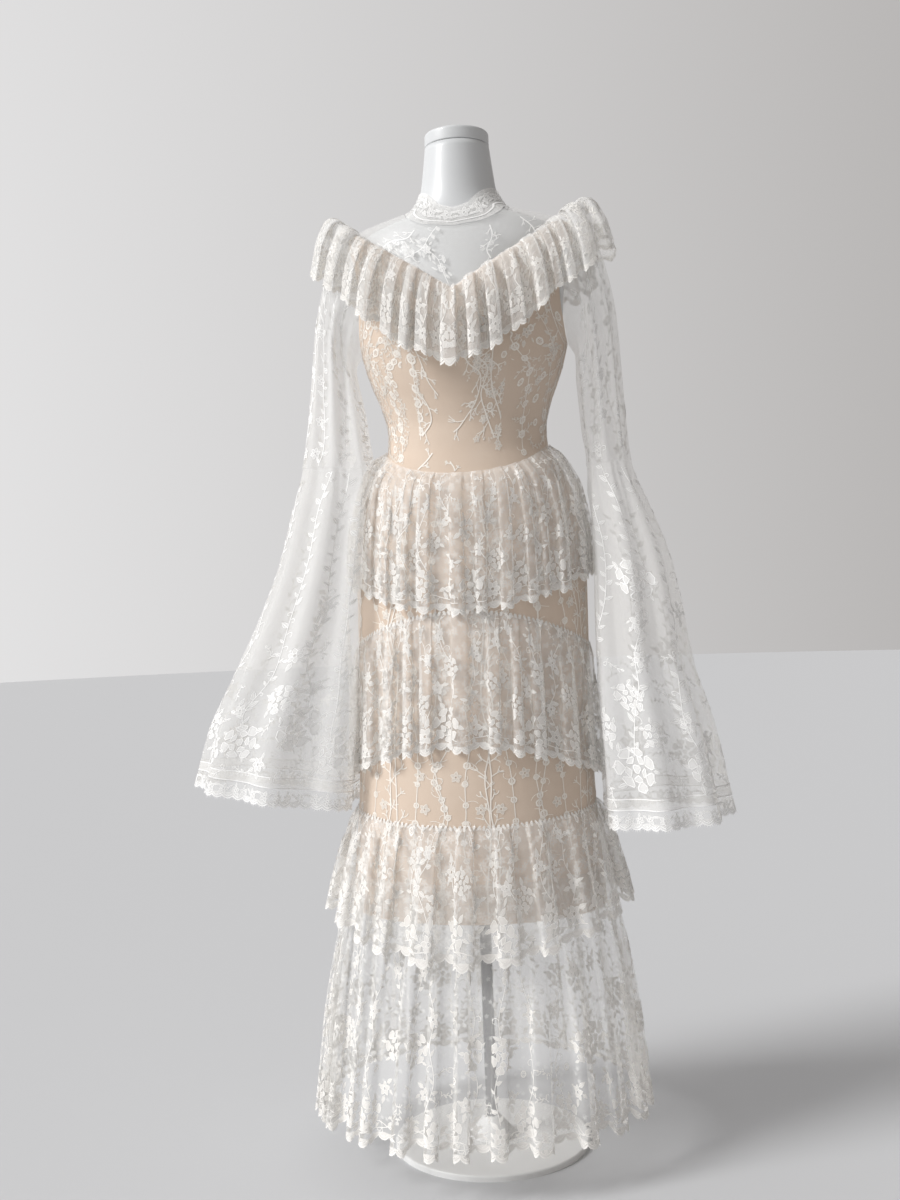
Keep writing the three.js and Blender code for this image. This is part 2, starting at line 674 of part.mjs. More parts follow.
function addTier(name, tier, rowParts) {
  const columns = tier.folds * FLOUNCE_COLUMNS_PER_FOLD;
  const outer = rowParts.map((part) => {
    const stand = readTable(tier.profile, 'part', 'stand', part);
    const foldDepth = readTable(tier.profile, 'part', 'fold', part);
    const row = [];
    for (let column = 0; column < columns; column += 1) {
      const angle = 360 * unevenTurn(column / columns);
      const top = heightRound(angle, tier.topFront, tier.topSide, tier.topBack);
      const hem = heightRound(angle, tier.hemFront, tier.hemSide, tier.hemBack);
      const z = mix(top, hem, part) - part * HEM_SCALLOP * flounceFold(column);
      row.push(offBlock(angle, z, stand + foldDepth * flounceFold(column)));
    }
    return row;
  });
  addPiece(name, sheetWall(outer, RUFFLE_WALL, true), 'lace');
}

// Tier 4: the unlined bottom flounce, a front and a back half that meet at the sides
function tierFourPoint(angle, section, column) {
  const fold = section.fold * flounceFold(column);
  const lift = section.z === HEM_Z ? HEM_SCALLOP * Math.max(-flounceFold(column), 0) : 0;
  const z = section.z + lift;
  return ovalPoint(angle, z, section.halfWidth + fold, section.front + fold, section.back + fold);
}

// Some columns of a ring of cloth, its two cut edges drawn in by half a seam
function cutColumns(grid, first, count) {
  return grid.map((row) => {
    const part = [];
    for (let column = 0; column <= count; column += 1) {
      part.push(row[(first + column) % row.length].clone());
    }
    const drawIn = (edge, neighbour) => {
      const step = part[neighbour].clone().sub(part[edge]).setLength(SEAM_GAP / 2);
      part[edge].add(step);
    };
    drawIn(0, 1);
    drawIn(count, count - 1);
    return part;
  });
}

function addTierFour() {
  const columns = TIER_4_FOLDS * FLOUNCE_COLUMNS_PER_FOLD;
  const angles = [];
  for (let column = 0; column < columns; column += 1) {
    angles.push(360 * unevenTurn(column / columns) - 90);
  }
  const seamStand = PANEL_WALL + LAID_ON_GAP + RUFFLE_WALL;
  const outer = [angles.map((angle) => offBlock(angle, TIER_4_SEAM_Z, seamStand))];
  TIER_4.forEach((section) => {
    outer.push(angles.map((angle, column) => tierFourPoint(angle, section, column)));
  });
  const inner = moveGrid(outer, gridNormals(outer, true), () => -RUFFLE_WALL);
  const half = columns / 2;
  [['tier_4_front', 0], ['tier_4_back', half]].forEach(([name, first]) => {
    const wall = wallBetween(cutColumns(outer, first, half), cutColumns(inner, first, half), false);
    addPiece(name, wall, 'lace');
  });
}

// Neck ruffle: one gathered strip laid over the yoke seam, right round the shoulders
function addNeckRuffle() {
  const columns = NECK_RUFFLE_FOLDS * FLOUNCE_COLUMNS_PER_FOLD;
  const rows = NECK_RUFFLE_FOLD_DEPTHS.map(() => []);
  for (let column = 0; column < columns; column += 1) {
    const turn = (4 * unevenTurn(column / columns) + 4) % 4;
    const place = turn > 2 ? turn - 4 : turn;
    const read = (key) => readTable(NECK_RUFFLE, 'place', key, Math.abs(place));
    const onSeam = yokeSeam(place);
    const seam = offBlock(onSeam.angle, onSeam.z, read('stand'));
    const heading = toRadians(read('heading')) * (place < 0 ? -1 : 1);
    const outward = new THREE.Vector3(Math.sin(heading), -Math.cos(heading), 0);
    const away = (distance, rise) => {
      const moved = seam.clone().addScaledVector(outward, distance);
      moved.z += rise;
      return moved;
    };
    const crest = away(read('crestOut'), read('crestUp'));
    const edge = away(read('edgeOut'), -read('drop'));
    const bellyOut = mix(read('crestOut'), read('edgeOut'), BELLY_OUT_SHARE);
    const belly = away(bellyOut, mix(read('crestUp'), -read('drop'), BELLY_DOWN_SHARE));
    rows[0].push(seam);
    rows[1].push(crest);
    rows[2].push(belly);
    rows[3].push(edge);
  }
  const folded = moveGrid(rows, gridNormals(rows, true), (row, column) => (
    NECK_RUFFLE_FOLD_DEPTHS[row] * flounceFold(column)
  ));
  addPiece('neck_ruffle', sheetWall(folded, RUFFLE_WALL, true), 'lace');
}

// Sleeves

// The ring where the sleeve is set into the armhole, laid just over the armhole's edge
function armholeRing(side, columns) {
  const ring = [];
  for (let column = 0; column < columns; column += 1) {
    const turn = (360 * column) / columns;
    const behind = (turn < 180) === (side > 0);
    const place = armholePlace(turn < 180 ? turn : 360 - turn, behind);
    const lift = SHOULDER_LIFT * Math.max(Math.cos(toRadians(turn)), 0) ** 4;
    ring.push(offBlock(side * place.angle, place.z, PANEL_WALL + ARMHOLE_GAP + lift));
  }
  return ring;
}

// Pushes a sleeve's point out of the space that the body and its tiers take up
function keptOff(point) {
  const reach = readTable(SLEEVE_KEEPS_OFF, 'z', 'reach', point.z);
  const halfWidth = readTable(BLOCK, 'z', 'halfWidth', point.z) + reach;
  const depth = readTable(BLOCK, 'z', point.y < 0 ? 'front' : 'back', point.z) + reach;
  const x = point.x - swingAt(point.z);
  const share = Math.hypot(x / halfWidth, point.y / depth);
  if (share < 1) point.set(x / share + swingAt(point.z), point.y / share, point.z);
  return point;
}

// One ring of a sleeve: its outer end is at the first column
function sleeveRing(side, section, columns) {
  const ring = [];
  for (let column = 0; column < columns; column += 1) {
    const turn = (2 * Math.PI * column) / columns;
    const fold = section.fold * foldAt(column, SLEEVE_COLUMNS_PER_FOLD);
    const outerX = section.outerX + fold;
    const innerX = section.innerX - fold;
    const x = mix(outerX, innerX, (1 - Math.cos(turn)) / 2);
    const z = mix(section.outerZ, section.innerZ, (1 - Math.cos(turn)) / 2);
    const y = section.midY + side * (section.halfDepth + fold) * Math.sin(turn);
    ring.push(keptOff(new THREE.Vector3(side * x, y, z)));
  }
  return ring;
}

// A ring moved along the sleeve by a distance, from one ring towards another
function ringToward(from, to, distance) {
  return from.map((point, column) => {
    const step = to[column].clone().sub(point);
    return point.clone().addScaledVector(step.normalize(), distance);
  });
}

function addSleeve(side, sideName, sections) {
  const columns = SLEEVE_FOLDS * SLEEVE_COLUMNS_PER_FOLD;
  const rings = [armholeRing(side, columns)];
  sections.forEach((section) => rings.push(sleeveRing(side, section, columns)));
  const elbow = rings[ELBOW_RING];
  const hem = rings[rings.length - 1];
  const beforeHem = rings[rings.length - 2];
  const upper = [...rings.slice(0, ELBOW_RING), ringToward(elbow, rings[ELBOW_RING - 1], SEAM_GAP)];
  const bellTop = ringToward(elbow, rings[ELBOW_RING + 1], SEAM_GAP);
  const bell = [bellTop, ...rings.slice(ELBOW_RING + 1)];
  const trimTop = ringToward(hem, beforeHem, -SEAM_GAP);
  const trimHem = ringToward(hem, beforeHem, -SLEEVE_TRIM_DEPTH);
  addPiece(`sleeve_upper_${sideName}`, sheetWall(upper, SLEEVE_WALL, true), 'lace');
  addPiece(`sleeve_bell_${sideName}`, sheetWall(bell, SLEEVE_WALL, true), 'lace');
  addPiece(`sleeve_trim_${sideName}`, sheetWall([trimTop, trimHem], SLEEVE_WALL, true), 'lace');
}

// Dress form and stand

// A solid through rings of points, closed by a flat fan at each end
function loft(rings) {
  const columns = rings[0].length;
  const positions = rings.flat().flatMap((point) => [point.x, point.y, point.z]);
  const indices = [];
  for (let row = 0; row < rings.length - 1; row += 1) {
    for (let column = 0; column < columns; column += 1) {
      const a = row * columns + column;
      const b = row * columns + ((column + 1) % columns);
      indices.push(a, a + columns, b, b, a + columns, b + columns);
    }
  }
  const middles = [rings[0], rings[rings.length - 1]].map((ring) => (
    ring.reduce((sum, point) => sum.add(point), new THREE.Vector3()).divideScalar(columns)
  ));
  middles.forEach((middle) => positions.push(middle.x, middle.y, middle.z));
  const topMiddle = rings.length * columns;
  const lastRow = (rings.length - 1) * columns;
  for (let column = 0; column < columns; column += 1) {
    const next = (column + 1) % columns;
    indices.push(topMiddle, column, next);
    indices.push(topMiddle + 1, lastRow + next, lastRow + column);
  }
  const geometry = new THREE.BufferGeometry();
  geometry.setAttribute('position', new THREE.Float32BufferAttribute(positions, 3));
  geometry.setIndex(indices);
  geometry.computeVertexNormals();
  return geometry;
}

function formRing(z) {
  const ring = [];
  for (let column = 0; column < BODY_COLUMNS; column += 1) {
    const angle = (360 * column) / BODY_COLUMNS;
    const sideInset = readTable(FORM_SIDE_INSET, 'z', 'inset', z) * Math.sin(toRadians(angle)) ** 2;
    ring.push(offBlock(angle, z, -FORM_CLEARANCE - sideInset));
  }
  return ring;
}

// Heights of the form's rings: every row of the block, and one between rows that are far apart
function formHeights() {
  const heights = [FORM_BOTTOM_Z];
  const widestStep = 45;
  for (const { z } of BLOCK) {
    if (z <= FORM_BOTTOM_Z) continue;
    const previous = heights[heights.length - 1];
    if (z - previous > widestStep) heights.push((z + previous) / 2);
    heights.push(z);
  }
  return heights.reverse();
}

function addForm() {
  addPiece('form_torso', loft(formHeights().map(formRing)), 'form');
  const neck = readTable(BLOCK, 'z', 'halfWidth', NECK_TOP_Z) - FORM_CLEARANCE;
  const bottom = NECK_TOP_Z + SEAM_GAP;
  const arcSteps = 3;
  const profile = [new THREE.Vector2(0, bottom), new THREE.Vector2(neck, bottom)];
  for (let step = 0; step <= arcSteps; step += 1) {
    const turn = (Math.PI / 2) * (step / arcSteps);
    const radius = neck - CAP_EDGE_RADIUS * (1 - Math.cos(turn));
    const height = CAP_TOP_Z - CAP_EDGE_RADIUS * (1 - Math.sin(turn));
    profile.push(new THREE.Vector2(radius, height));
  }
  profile.push(new THREE.Vector2(0, CAP_TOP_Z));
  addPiece('form_neck_cap', uprightLathe(profile, BODY_COLUMNS), 'form');
}

// A lathe turned so that its axis is +Z
function uprightLathe(profile, segments) {
  const geometry = new THREE.LatheGeometry(profile, segments);
  geometry.rotateX(Math.PI / 2);
  return geometry;
}

function addStand() {
  const poleSegments = 20;
  const poleBottom = HUB_TOP_Z + SEAM_GAP;
  const poleTop = FORM_BOTTOM_Z - SEAM_GAP;
  const pole = new THREE.CylinderGeometry(POLE_RADIUS, POLE_RADIUS, poleTop - poleBottom, poleSegments);
  pole.rotateX(Math.PI / 2);
  pole.translate(0, 0, (poleTop + poleBottom) / 2);
  addPiece('stand_pole', pole, 'pole');
  const edgeBevel = 3;
  const discProfile = [
    new THREE.Vector2(0, 0),
    new THREE.Vector2(BASE_RADIUS, 0),
    new THREE.Vector2(BASE_RADIUS, BASE_THICKNESS - edgeBevel),
    new THREE.Vector2(BASE_RADIUS - edgeBevel, BASE_THICKNESS),
    new THREE.Vector2(0, BASE_THICKNESS),
  ];
  addPiece('stand_base', uprightLathe(discProfile, BODY_COLUMNS), 'base');
  const hubFlare = 12;
  const hubBottom = BASE_THICKNESS + SEAM_GAP;
  const hubProfile = [
    new THREE.Vector2(0, hubBottom),
    new THREE.Vector2(HUB_RADIUS + hubFlare, hubBottom),
    new THREE.Vector2(HUB_RADIUS + hubFlare, hubBottom + edgeBevel),
    new THREE.Vector2(HUB_RADIUS, HUB_TOP_Z - hubFlare),
    new THREE.Vector2(POLE_RADIUS + edgeBevel, HUB_TOP_Z),
    new THREE.Vector2(0, HUB_TOP_Z),
  ];
  addPiece('stand_hub', uprightLathe(hubProfile, BODY_COLUMNS), 'base');
}

addForm();
addStand();
addCollar();
addYoke();
addBodice();
addNeckRuffle();
addSleeve(1, 'left', LEFT_SLEEVE);
addSleeve(-1, 'right', RIGHT_SLEEVE);
addSkirt();
addTier('tier_1', TIER_1, [0, 0.14, 0.5, 1]);
addTier('tier_2', TIER_2, [0, 0.12, 0.5, 1]);
addTier('tier_3', TIER_3, [0, 0.16, 0.5, 1]);
addTierFour();

export default dress;
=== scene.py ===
# %% [markdown]
# A long lace wedding dress on its dress form.
# The solids of the dress are loaded first. They give every piece its place and size, in
# metres, with the front towards -Y and the wearer's left towards +X. Each piece of cloth is
# then made again as a fine thin sheet on the same form, and gets its lace, seams and edges.

import math

import bpy
import numpy as np
from mathutils import Matrix, Vector


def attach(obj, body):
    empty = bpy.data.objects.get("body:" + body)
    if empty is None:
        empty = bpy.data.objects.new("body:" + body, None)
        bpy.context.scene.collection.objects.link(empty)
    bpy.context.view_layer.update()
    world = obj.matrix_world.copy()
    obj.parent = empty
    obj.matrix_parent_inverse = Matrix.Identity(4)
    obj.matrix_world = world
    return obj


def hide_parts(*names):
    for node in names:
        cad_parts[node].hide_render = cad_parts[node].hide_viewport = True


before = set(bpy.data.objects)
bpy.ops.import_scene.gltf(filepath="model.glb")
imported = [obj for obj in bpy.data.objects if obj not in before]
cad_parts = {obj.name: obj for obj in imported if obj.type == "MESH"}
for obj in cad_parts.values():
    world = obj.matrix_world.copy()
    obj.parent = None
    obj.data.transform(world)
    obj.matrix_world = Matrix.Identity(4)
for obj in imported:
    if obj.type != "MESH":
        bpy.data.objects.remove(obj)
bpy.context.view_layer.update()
scene = bpy.context.scene
MM = 0.001

# %% [markdown]
# Sizes come from short tables, one row for each height. A smooth curve through the rows
# gives the value anywhere between them. It is flat at each high and low, so it never
# overshoots, as a well faired pattern line doesn't.


# %% A smooth curve through the rows of a table
def curve_through(keys, values):
    keys, values = np.array(keys, float), np.array(values, float)
    steps = np.diff(keys)
    rises = np.diff(values) / steps
    slopes = np.zeros_like(values)
    slopes[0], slopes[-1] = rises[0], rises[-1]
    same_way = rises[:-1] * rises[1:] > 0
    sums = np.where(same_way, rises[:-1] + rises[1:], 1)
    slopes[1:-1] = np.where(same_way, 2 * rises[:-1] * rises[1:] / sums, 0)

    def read(at):
        at = np.clip(at, keys[0], keys[-1])
        row = np.clip(np.searchsorted(keys, at, side="right") - 1, 0, len(steps) - 1)
        t = (at - keys[row]) / steps[row]
        start, end = values[row], values[row + 1]
        leave, arrive = slopes[row] * steps[row], slopes[row + 1] * steps[row]
        bend = 2 * (start - end) + leave + arrive
        curve = 3 * (end - start) - 2 * leave - arrive
        return ((bend * t + curve) * t + leave) * t + start

    return read


def curves(table):
    """A smooth curve for each column of a table after its first."""
    columns = np.array(table, float).T
    return [curve_through(columns[0], column) for column in columns[1:]]


def mix(a, b, share):
    return a + (b - a) * share


def ease(x, low, high):
    t = np.clip((x - low) / (high - low), 0, 1)
    return t * t * (3 - 2 * t)

# %% [markdown]
# The dress block is the inside of the fitted cloth. Each row gives, in millimetres, a
# height, half of the width there, and the reach to the front and to the back.

# %% The dress block
BLOCK = [
    (300, 199, 155, 154), (372, 195, 150, 150), (450, 189, 145, 146), (536, 182, 139, 141),
    (650, 178, 132, 137), (766, 177, 126, 133), (850, 177, 122, 130), (930, 174, 116, 126),
    (1000, 159, 106, 113), (1040, 139, 96, 98), (1072, 122.5, 91, 88), (1100, 121, 90, 86),
    (1136, 129, 96, 89), (1170, 142, 106, 94), (1203, 153, 114, 98), (1245, 162, 119, 102),
    (1297, 169, 112, 104), (1340, 176, 101, 101), (1380, 182, 89, 95), (1400, 176, 81, 90),
    (1412, 156, 77, 86), (1422, 124, 73, 81), (1433, 84, 69, 76), (1445, 71, 65.5, 70),
    (1458, 64.5, 62.5, 65), (1475, 60.5, 59.5, 61), (1500, 57, 56.5, 57),
    (1537, 52.5, 52.5, 52.5),
]
half_width, front_reach, back_reach = curves(BLOCK)
WAIST_Z, HEM_Z, LINING_END_Z = 1072, 72, 372
SKIRT_SWING = -10


def swing(z):
    return SKIRT_SWING * np.clip((WAIST_Z - z) / (WAIST_Z - HEM_Z), 0, 1)


def oval(angle, z, width, front, back):
    turn = np.radians(angle)
    depth = np.where(np.cos(turn) > 0, front, back)
    return np.stack([width * np.sin(turn) + swing(z), -depth * np.cos(turn), z + 0 * turn], -1)


def block(angle, z):
    return oval(angle, z, half_width(z), front_reach(z), back_reach(z))


def unit(vectors):
    return vectors / np.maximum(np.linalg.norm(vectors, axis=-1, keepdims=True), 1e-9)


def off_block(angle, z, stand):
    around = block(angle + 1, z) - block(angle - 1, z)
    upward = block(angle, z + 3) - block(angle, z - 3)
    return block(angle, z) + unit(np.cross(around, upward)) * np.asarray(stand)[..., None]


waist_ring = block(np.arange(360), WAIST_Z)
waist_round = np.linalg.norm(waist_ring - np.roll(waist_ring, 1, 0), axis=1).sum()
print("waist round", round(waist_round), "mm")

# %% [markdown]
# The seams of the fitted cloth are lines on the block: the waist dips in front, the yoke
# ends in a deep V, and the princess seams run from the V to the waist. An angle of 0 is
# the middle front and 90 is the wearer's left side.

# %% Seam lines
SHOULDER_Z, V_POINT_Z, BACK_YOKE_Z, ARMHOLE_BOTTOM_Z = 1409, 1297, 1345, 1225
NECK_SIDE_Z, NECK_BACK_Z = 1433, 1438
WAIST_FRONT_DIP, WAIST_BACK_DIP = 46, 12
ARMHOLE_HALF_DEPTH, ARMHOLE_SHARE = 50, 0.6
PRINCESS_TOP, PRINCESS_WAIST_ANGLE = 4 / 7, 31
collar_seam = curve_through(
    [0, 15, 26, 42, 63, 90, 180], [1395, 1402, 1413, 1424.5, 1431, NECK_SIDE_Z, NECK_BACK_Z]
)


def height_round(angle, front, side, back):
    toward = np.cos(np.radians(angle))
    return mix(side, np.where(toward > 0, front, back), np.abs(toward) ** 1.5)


def waist(angle):
    return height_round(angle, WAIST_Z - WAIST_FRONT_DIP, WAIST_Z, WAIST_Z - WAIST_BACK_DIP)


def collar_line(angle):
    return collar_seam(np.abs(angle))


def yoke_seam(place):
    along = np.abs(place)
    in_front = along <= 1
    z = np.where(in_front, mix(V_POINT_Z, SHOULDER_Z, along), mix(SHOULDER_Z, BACK_YOKE_Z, along - 1))
    x = half_width(SHOULDER_Z) * np.where(in_front, along, 2 - along)
    angle = np.degrees(np.arcsin(np.clip(x / half_width(z), -1, 1)))
    return np.sign(place) * np.where(in_front, angle, 180 - angle), z


def armhole(turn, behind):
    middle, half = (SHOULDER_Z + ARMHOLE_BOTTOM_Z) / 2, (SHOULDER_Z - ARMHOLE_BOTTOM_Z) / 2
    z = middle + half * np.cos(np.radians(turn))
    y = ARMHOLE_HALF_DEPTH * np.sin(np.radians(turn))
    depth = np.where(behind, back_reach(z), front_reach(z))
    angle = np.degrees(np.arccos(np.minimum(y / depth, 1)))
    return np.where(behind, 180 - angle, angle), z


def princess(down):
    top_angle, top_z = yoke_seam(PRINCESS_TOP)
    angle = mix(top_angle, PRINCESS_WAIST_ANGLE, np.power(down, 0.8))
    return angle, mix(top_z, waist(PRINCESS_WAIST_ANGLE), down)


def side_line(down, behind):
    """Down the armhole to its bottom, and then down the side seam to the waist."""
    in_hole = down <= ARMHOLE_SHARE
    angle, z = armhole(180 * np.minimum(down / ARMHOLE_SHARE, 1), behind)
    below = np.clip((down - ARMHOLE_SHARE) / (1 - ARMHOLE_SHARE), 0, 1)
    return np.where(in_hole, angle, 90), np.where(in_hole, z, mix(ARMHOLE_BOTTOM_Z, WAIST_Z, below))

# %% [markdown]
# Each cloth piece is a grid of points, with rows that run down the cloth. Its distances are
# measured along the rows, so that lace can be laid on it flat, without stretching, as it is
# on the cutting table. The sheet keeps those distances as its UV map, in metres.


# %% A piece of cloth
def neighbours(points, axis=0, closed=False):
    """The points before and after each point. An open end is its own neighbour."""
    if closed:
        return np.roll(points, 1, axis), np.roll(points, -1, axis)
    places = np.arange(points.shape[axis])
    before, after = np.maximum(places - 1, 0), np.minimum(places + 1, places[-1])
    return points.take(before, axis), points.take(after, axis)


class Cloth:
    def __init__(self, grid, ring=False):
        self.grid, self.ring = grid, ring
        self.rows, self.columns = grid.shape[:2]
        whole = np.concatenate([grid, grid[:, :1]], 1) if ring else grid
        steps = np.linalg.norm(np.diff(whole, axis=1), axis=2)
        self.across = np.concatenate([np.zeros((self.rows, 1)), np.cumsum(steps, 1)], 1)
        drops = np.linalg.norm(np.diff(grid, axis=0), axis=2).mean(1)
        self.down = np.concatenate([[0], np.cumsum(drops)])
        self.width = self.across[:, -1]
        self.length = self.down[-1]
        (before, after), (above, below) = neighbours(grid, 1, ring), neighbours(grid, 0)
        self.normals = unit(np.cross(after - before, above - below))
        self.taken_up = np.ones(self.rows)

    def gather(self):
        """Gathers take up the cloth towards the seam, so the lace on it gets narrower there."""
        self.taken_up = self.width / self.width.max()
        return self

    def columns_at(self, rows, across):
        """The columns at distances across, on rows that may lie between two rows."""
        return self.between(rows, across, lambda places, line: (line, places))

    def across_at(self, rows, columns):
        return self.between(rows, columns, lambda places, line: (places, line))

    def between(self, rows, values, way):
        low = np.clip(np.floor(rows).astype(int), 0, self.rows - 2)
        result = np.zeros(len(rows))
        for row in np.unique(low):
            part = low == row
            upper, lower = (np.interp(values[part], *way(*self.tables(r))) for r in (row, row + 1))
            result[part] = mix(upper, lower, rows[part] - row)
        return result

    def tables(self, row):
        """Columns of a row and their distances across. A ring carries on at both ends."""
        places = np.arange(self.across.shape[1])
        line, around, turn = self.across[row], self.width[row], self.columns
        if not self.ring:
            return places, line - around / 2
        lines = np.concatenate([line[:-1] - around, line, line[1:] + around])
        return np.concatenate([places[:-1] - turn, places, places[1:] + turn]), lines

    def points_at(self, rows, columns, lift):
        """Points on the cloth, raised by lift. Past the top or the hem they carry on straight."""
        over = rows - np.clip(rows, 0, self.rows - 1)
        rows = np.clip(rows, 0, self.rows - 1)
        r = np.clip(rows.astype(int), 0, self.rows - 2)
        if self.ring:
            columns = np.mod(columns, self.columns)
        c = np.clip(columns.astype(int), 0, self.columns - (1 if self.ring else 2))
        c1 = (c + 1) % self.columns
        fr, fc = (rows - r)[:, None], (columns - c)[:, None]

        def blend(grid):
            upper = grid[r, c] * (1 - fc) + grid[r, c1] * fc
            lower = grid[r + 1, c] * (1 - fc) + grid[r + 1, c1] * fc
            return upper * (1 - fr) + lower * fr

        step = self.grid[r + 1, c] - self.grid[r, c]
        return blend(self.grid) + unit(blend(self.normals)) * lift[:, None] + step * over[:, None]

    def lay(self, across, down, dx, dy, lift):
        """Lays flat points on the cloth. dx and dy are measured from a place on it."""
        places = np.arange(self.rows)
        row = np.full(len(dx), np.interp(down, self.down, places))
        column = self.columns_at(row, np.full(len(dx), float(across)))
        target = down + dy
        last = (self.down[-1] - self.down[-2], self.down[1] - self.down[0])
        rows = np.interp(target, self.down, places)
        rows = rows + np.maximum(target - self.length, 0) / last[0] + np.minimum(target, 0) / last[1]
        on_cloth = np.clip(rows, 0, self.rows - 1)
        moved = self.across_at(on_cloth, column) + dx * np.interp(on_cloth, places, self.taken_up)
        return self.points_at(rows, self.columns_at(on_cloth, moved), lift), target

# %% [markdown]
# A sheet is real geometry, and where it is lined it gets a wall as thin as cloth. Its faces are quads, and it
# is smooth shaded.


# %% Make meshes from arrays
def new_piece(name, points_mm, faces, materials, uv=None, face_materials=None):
    mesh = bpy.data.meshes.new(name)
    corners = faces.shape[1]
    mesh.vertices.add(len(points_mm))
    mesh.vertices.foreach_set("co", (points_mm * MM).astype(np.float32).ravel())
    mesh.loops.add(faces.size)
    mesh.loops.foreach_set("vertex_index", faces.astype(np.int32).ravel())
    mesh.polygons.add(len(faces))
    mesh.polygons.foreach_set("loop_start", np.arange(0, faces.size, corners, dtype=np.int32))
    mesh.polygons.foreach_set("use_smooth", np.ones(len(faces), dtype=bool))
    for material in materials:
        mesh.materials.append(material)
    if face_materials is not None:
        mesh.polygons.foreach_set("material_index", face_materials.astype(np.int32))
    if uv is not None:
        layer = mesh.uv_layers.new(name="cloth")
        layer.uv.foreach_set("vector", uv.astype(np.float32).ravel())
    mesh.update(calc_edges=True)
    piece = bpy.data.objects.new(name, mesh)
    scene.collection.objects.link(piece)
    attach(piece, "root")
    return piece


def sheet_piece(name, cloth, material, wall=None):
    rows, columns = cloth.rows, cloth.columns
    cells = columns if cloth.ring else columns - 1
    r, c = np.meshgrid(np.arange(rows - 1), np.arange(cells), indexing="ij")
    r, c = r.ravel(), c.ravel()
    c1 = (c + 1) % columns
    faces = np.stack([r * columns + c, (r + 1) * columns + c, (r + 1) * columns + c1, r * columns + c1], 1)
    across, half = cloth.across[:, :cells], cloth.width[:, None] / 2
    start = np.where(across > half, across - 2 * half, across) if cloth.ring else across - half
    step = np.diff(cloth.across, axis=1)
    left, left_low = start[r, c], start[r + 1, c]
    right, right_low = left + step[r, c], left_low + step[r + 1, c]
    v, v_low = -cloth.down[r], -cloth.down[r + 1]
    uv = np.stack([left, v, left_low, v_low, right_low, v_low, right, v], 1).reshape(-1, 2)
    piece = new_piece(name, cloth.grid.reshape(-1, 3), faces, [material], uv * MM)
    if wall:
        ends = np.empty(len(piece.data.edges) * 2, np.int32)
        piece.data.edges.foreach_get("vertices", ends)
        row, column = np.divmod(ends.reshape(-1, 2), columns)
        border = (row == 0).all(1) | (row == rows - 1).all(1)
        if not cloth.ring:
            border |= (column == 0).all(1) | (column == columns - 1).all(1)
        piece.data.edges.foreach_set("use_edge_sharp", border)
        solidify = piece.modifiers.new("wall", "SOLIDIFY")
        solidify.thickness, solidify.offset = wall * MM, -1
    return piece


LEAST_SHARE = 0.31


def declare(piece, cloth, nodes):
    """Prints how large the piece was cut and its area, and hides the solids it stands for."""
    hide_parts(*nodes)
    width, length = cloth.width.max() * MM, cloth.length * MM
    across = np.diff(cloth.across, axis=1)
    drops = np.diff(cloth.down)[:, None]
    area = float(((across[1:] + across[:-1]) / 2 * drops).sum()) * MM * MM
    area = min(max(area, LEAST_SHARE * width * length), width * length)
    print(f"{piece.name}: {width * 100:.0f} x {length * 100:.0f} cm, {area:.3f} square metres")

# %% [markdown]
# The finishes come next. Net is a web of fine threads with open holes between them, so its
# pattern drives the alpha of the surface: threads stop light and holes let it through. It
# follows the cloth's own UV map, in metres, so a hole has the same size on every piece.


# %% Small helpers for node trees
NET_CELL, THREAD_SHARE = 0.0019, 0.17


class Finish:
    def __init__(self, name, color, roughness, **sockets):
        self.material = bpy.data.materials.new(name)
        self.material.use_nodes = True
        self.tree = self.material.node_tree
        self.sockets = self.tree.nodes["Principled BSDF"].inputs
        self.material.diffuse_color = (*color, 1)
        for socket, value in {"Base_Color": (*color, 1), "Roughness": roughness, **sockets}.items():
            self.feed(self.sockets[socket.replace("_", " ")], value)

    def feed(self, socket, value):
        """Gives a socket a link from another node, or else a number or a colour."""
        if isinstance(value, bpy.types.NodeSocket):
            self.tree.links.new(value, socket)
        else:
            socket.default_value = value

    def node(self, kind, *values, **settings):
        """Adds a node. Values go to its first sockets, and a capital letter names a socket."""
        made = self.tree.nodes.new("ShaderNode" + kind)
        for key, value in settings.items():
            if key[0].isupper():
                self.feed(made.inputs[key.replace("_", " ")], value)
            else:
                setattr(made, key, value)
        for socket, value in zip(made.inputs, values):
            self.feed(socket, value)
        return made.outputs

    def math(self, operation, *values):
        return self.node("Math", *values, operation=operation)[0]

    def cloth_uv(self):
        return self.node("TexCoord")["UV"]

    def web(self, uv):
        """Three sets of thin threads that cross at 60 degrees: 1 on a thread and 0 in a hole."""
        parts = self.node("SeparateXYZ", uv)
        x = self.math("MULTIPLY", parts["X"], 1 / NET_CELL)
        y = self.math("MULTIPLY", parts["Y"], 0.577 / NET_CELL)
        lines = [self.math("ADD", x, y), self.math("SUBTRACT", x, y), self.math("MULTIPLY", y, 2.0)]
        bands = [self.math("LESS_THAN", self.math("FRACT", line), THREAD_SHARE) for line in lines]
        return self.math("MAXIMUM", self.math("MAXIMUM", bands[0], bands[1]), bands[2])

    def noise(self, vector, scale, detail=2.0):
        return self.node("TexNoise", vector, Scale=scale, Detail=detail)["Fac"]

    def bump(self, height, strength, distance):
        normal = self.node("Bump", Strength=strength, Distance=distance, Height=height)["Normal"]
        self.feed(self.sockets["Normal"], normal)

    def tint(self, factor, dark, light):
        made = self.node("Mix", factor, data_type="RGBA")[0].node
        colors = [socket for socket in (*made.inputs, *made.outputs) if socket.type == "RGBA"]
        self.feed(colors[0], (*dark, 1))
        self.feed(colors[1], (*light, 1))
        self.feed(self.sockets["Base Color"], colors[2])

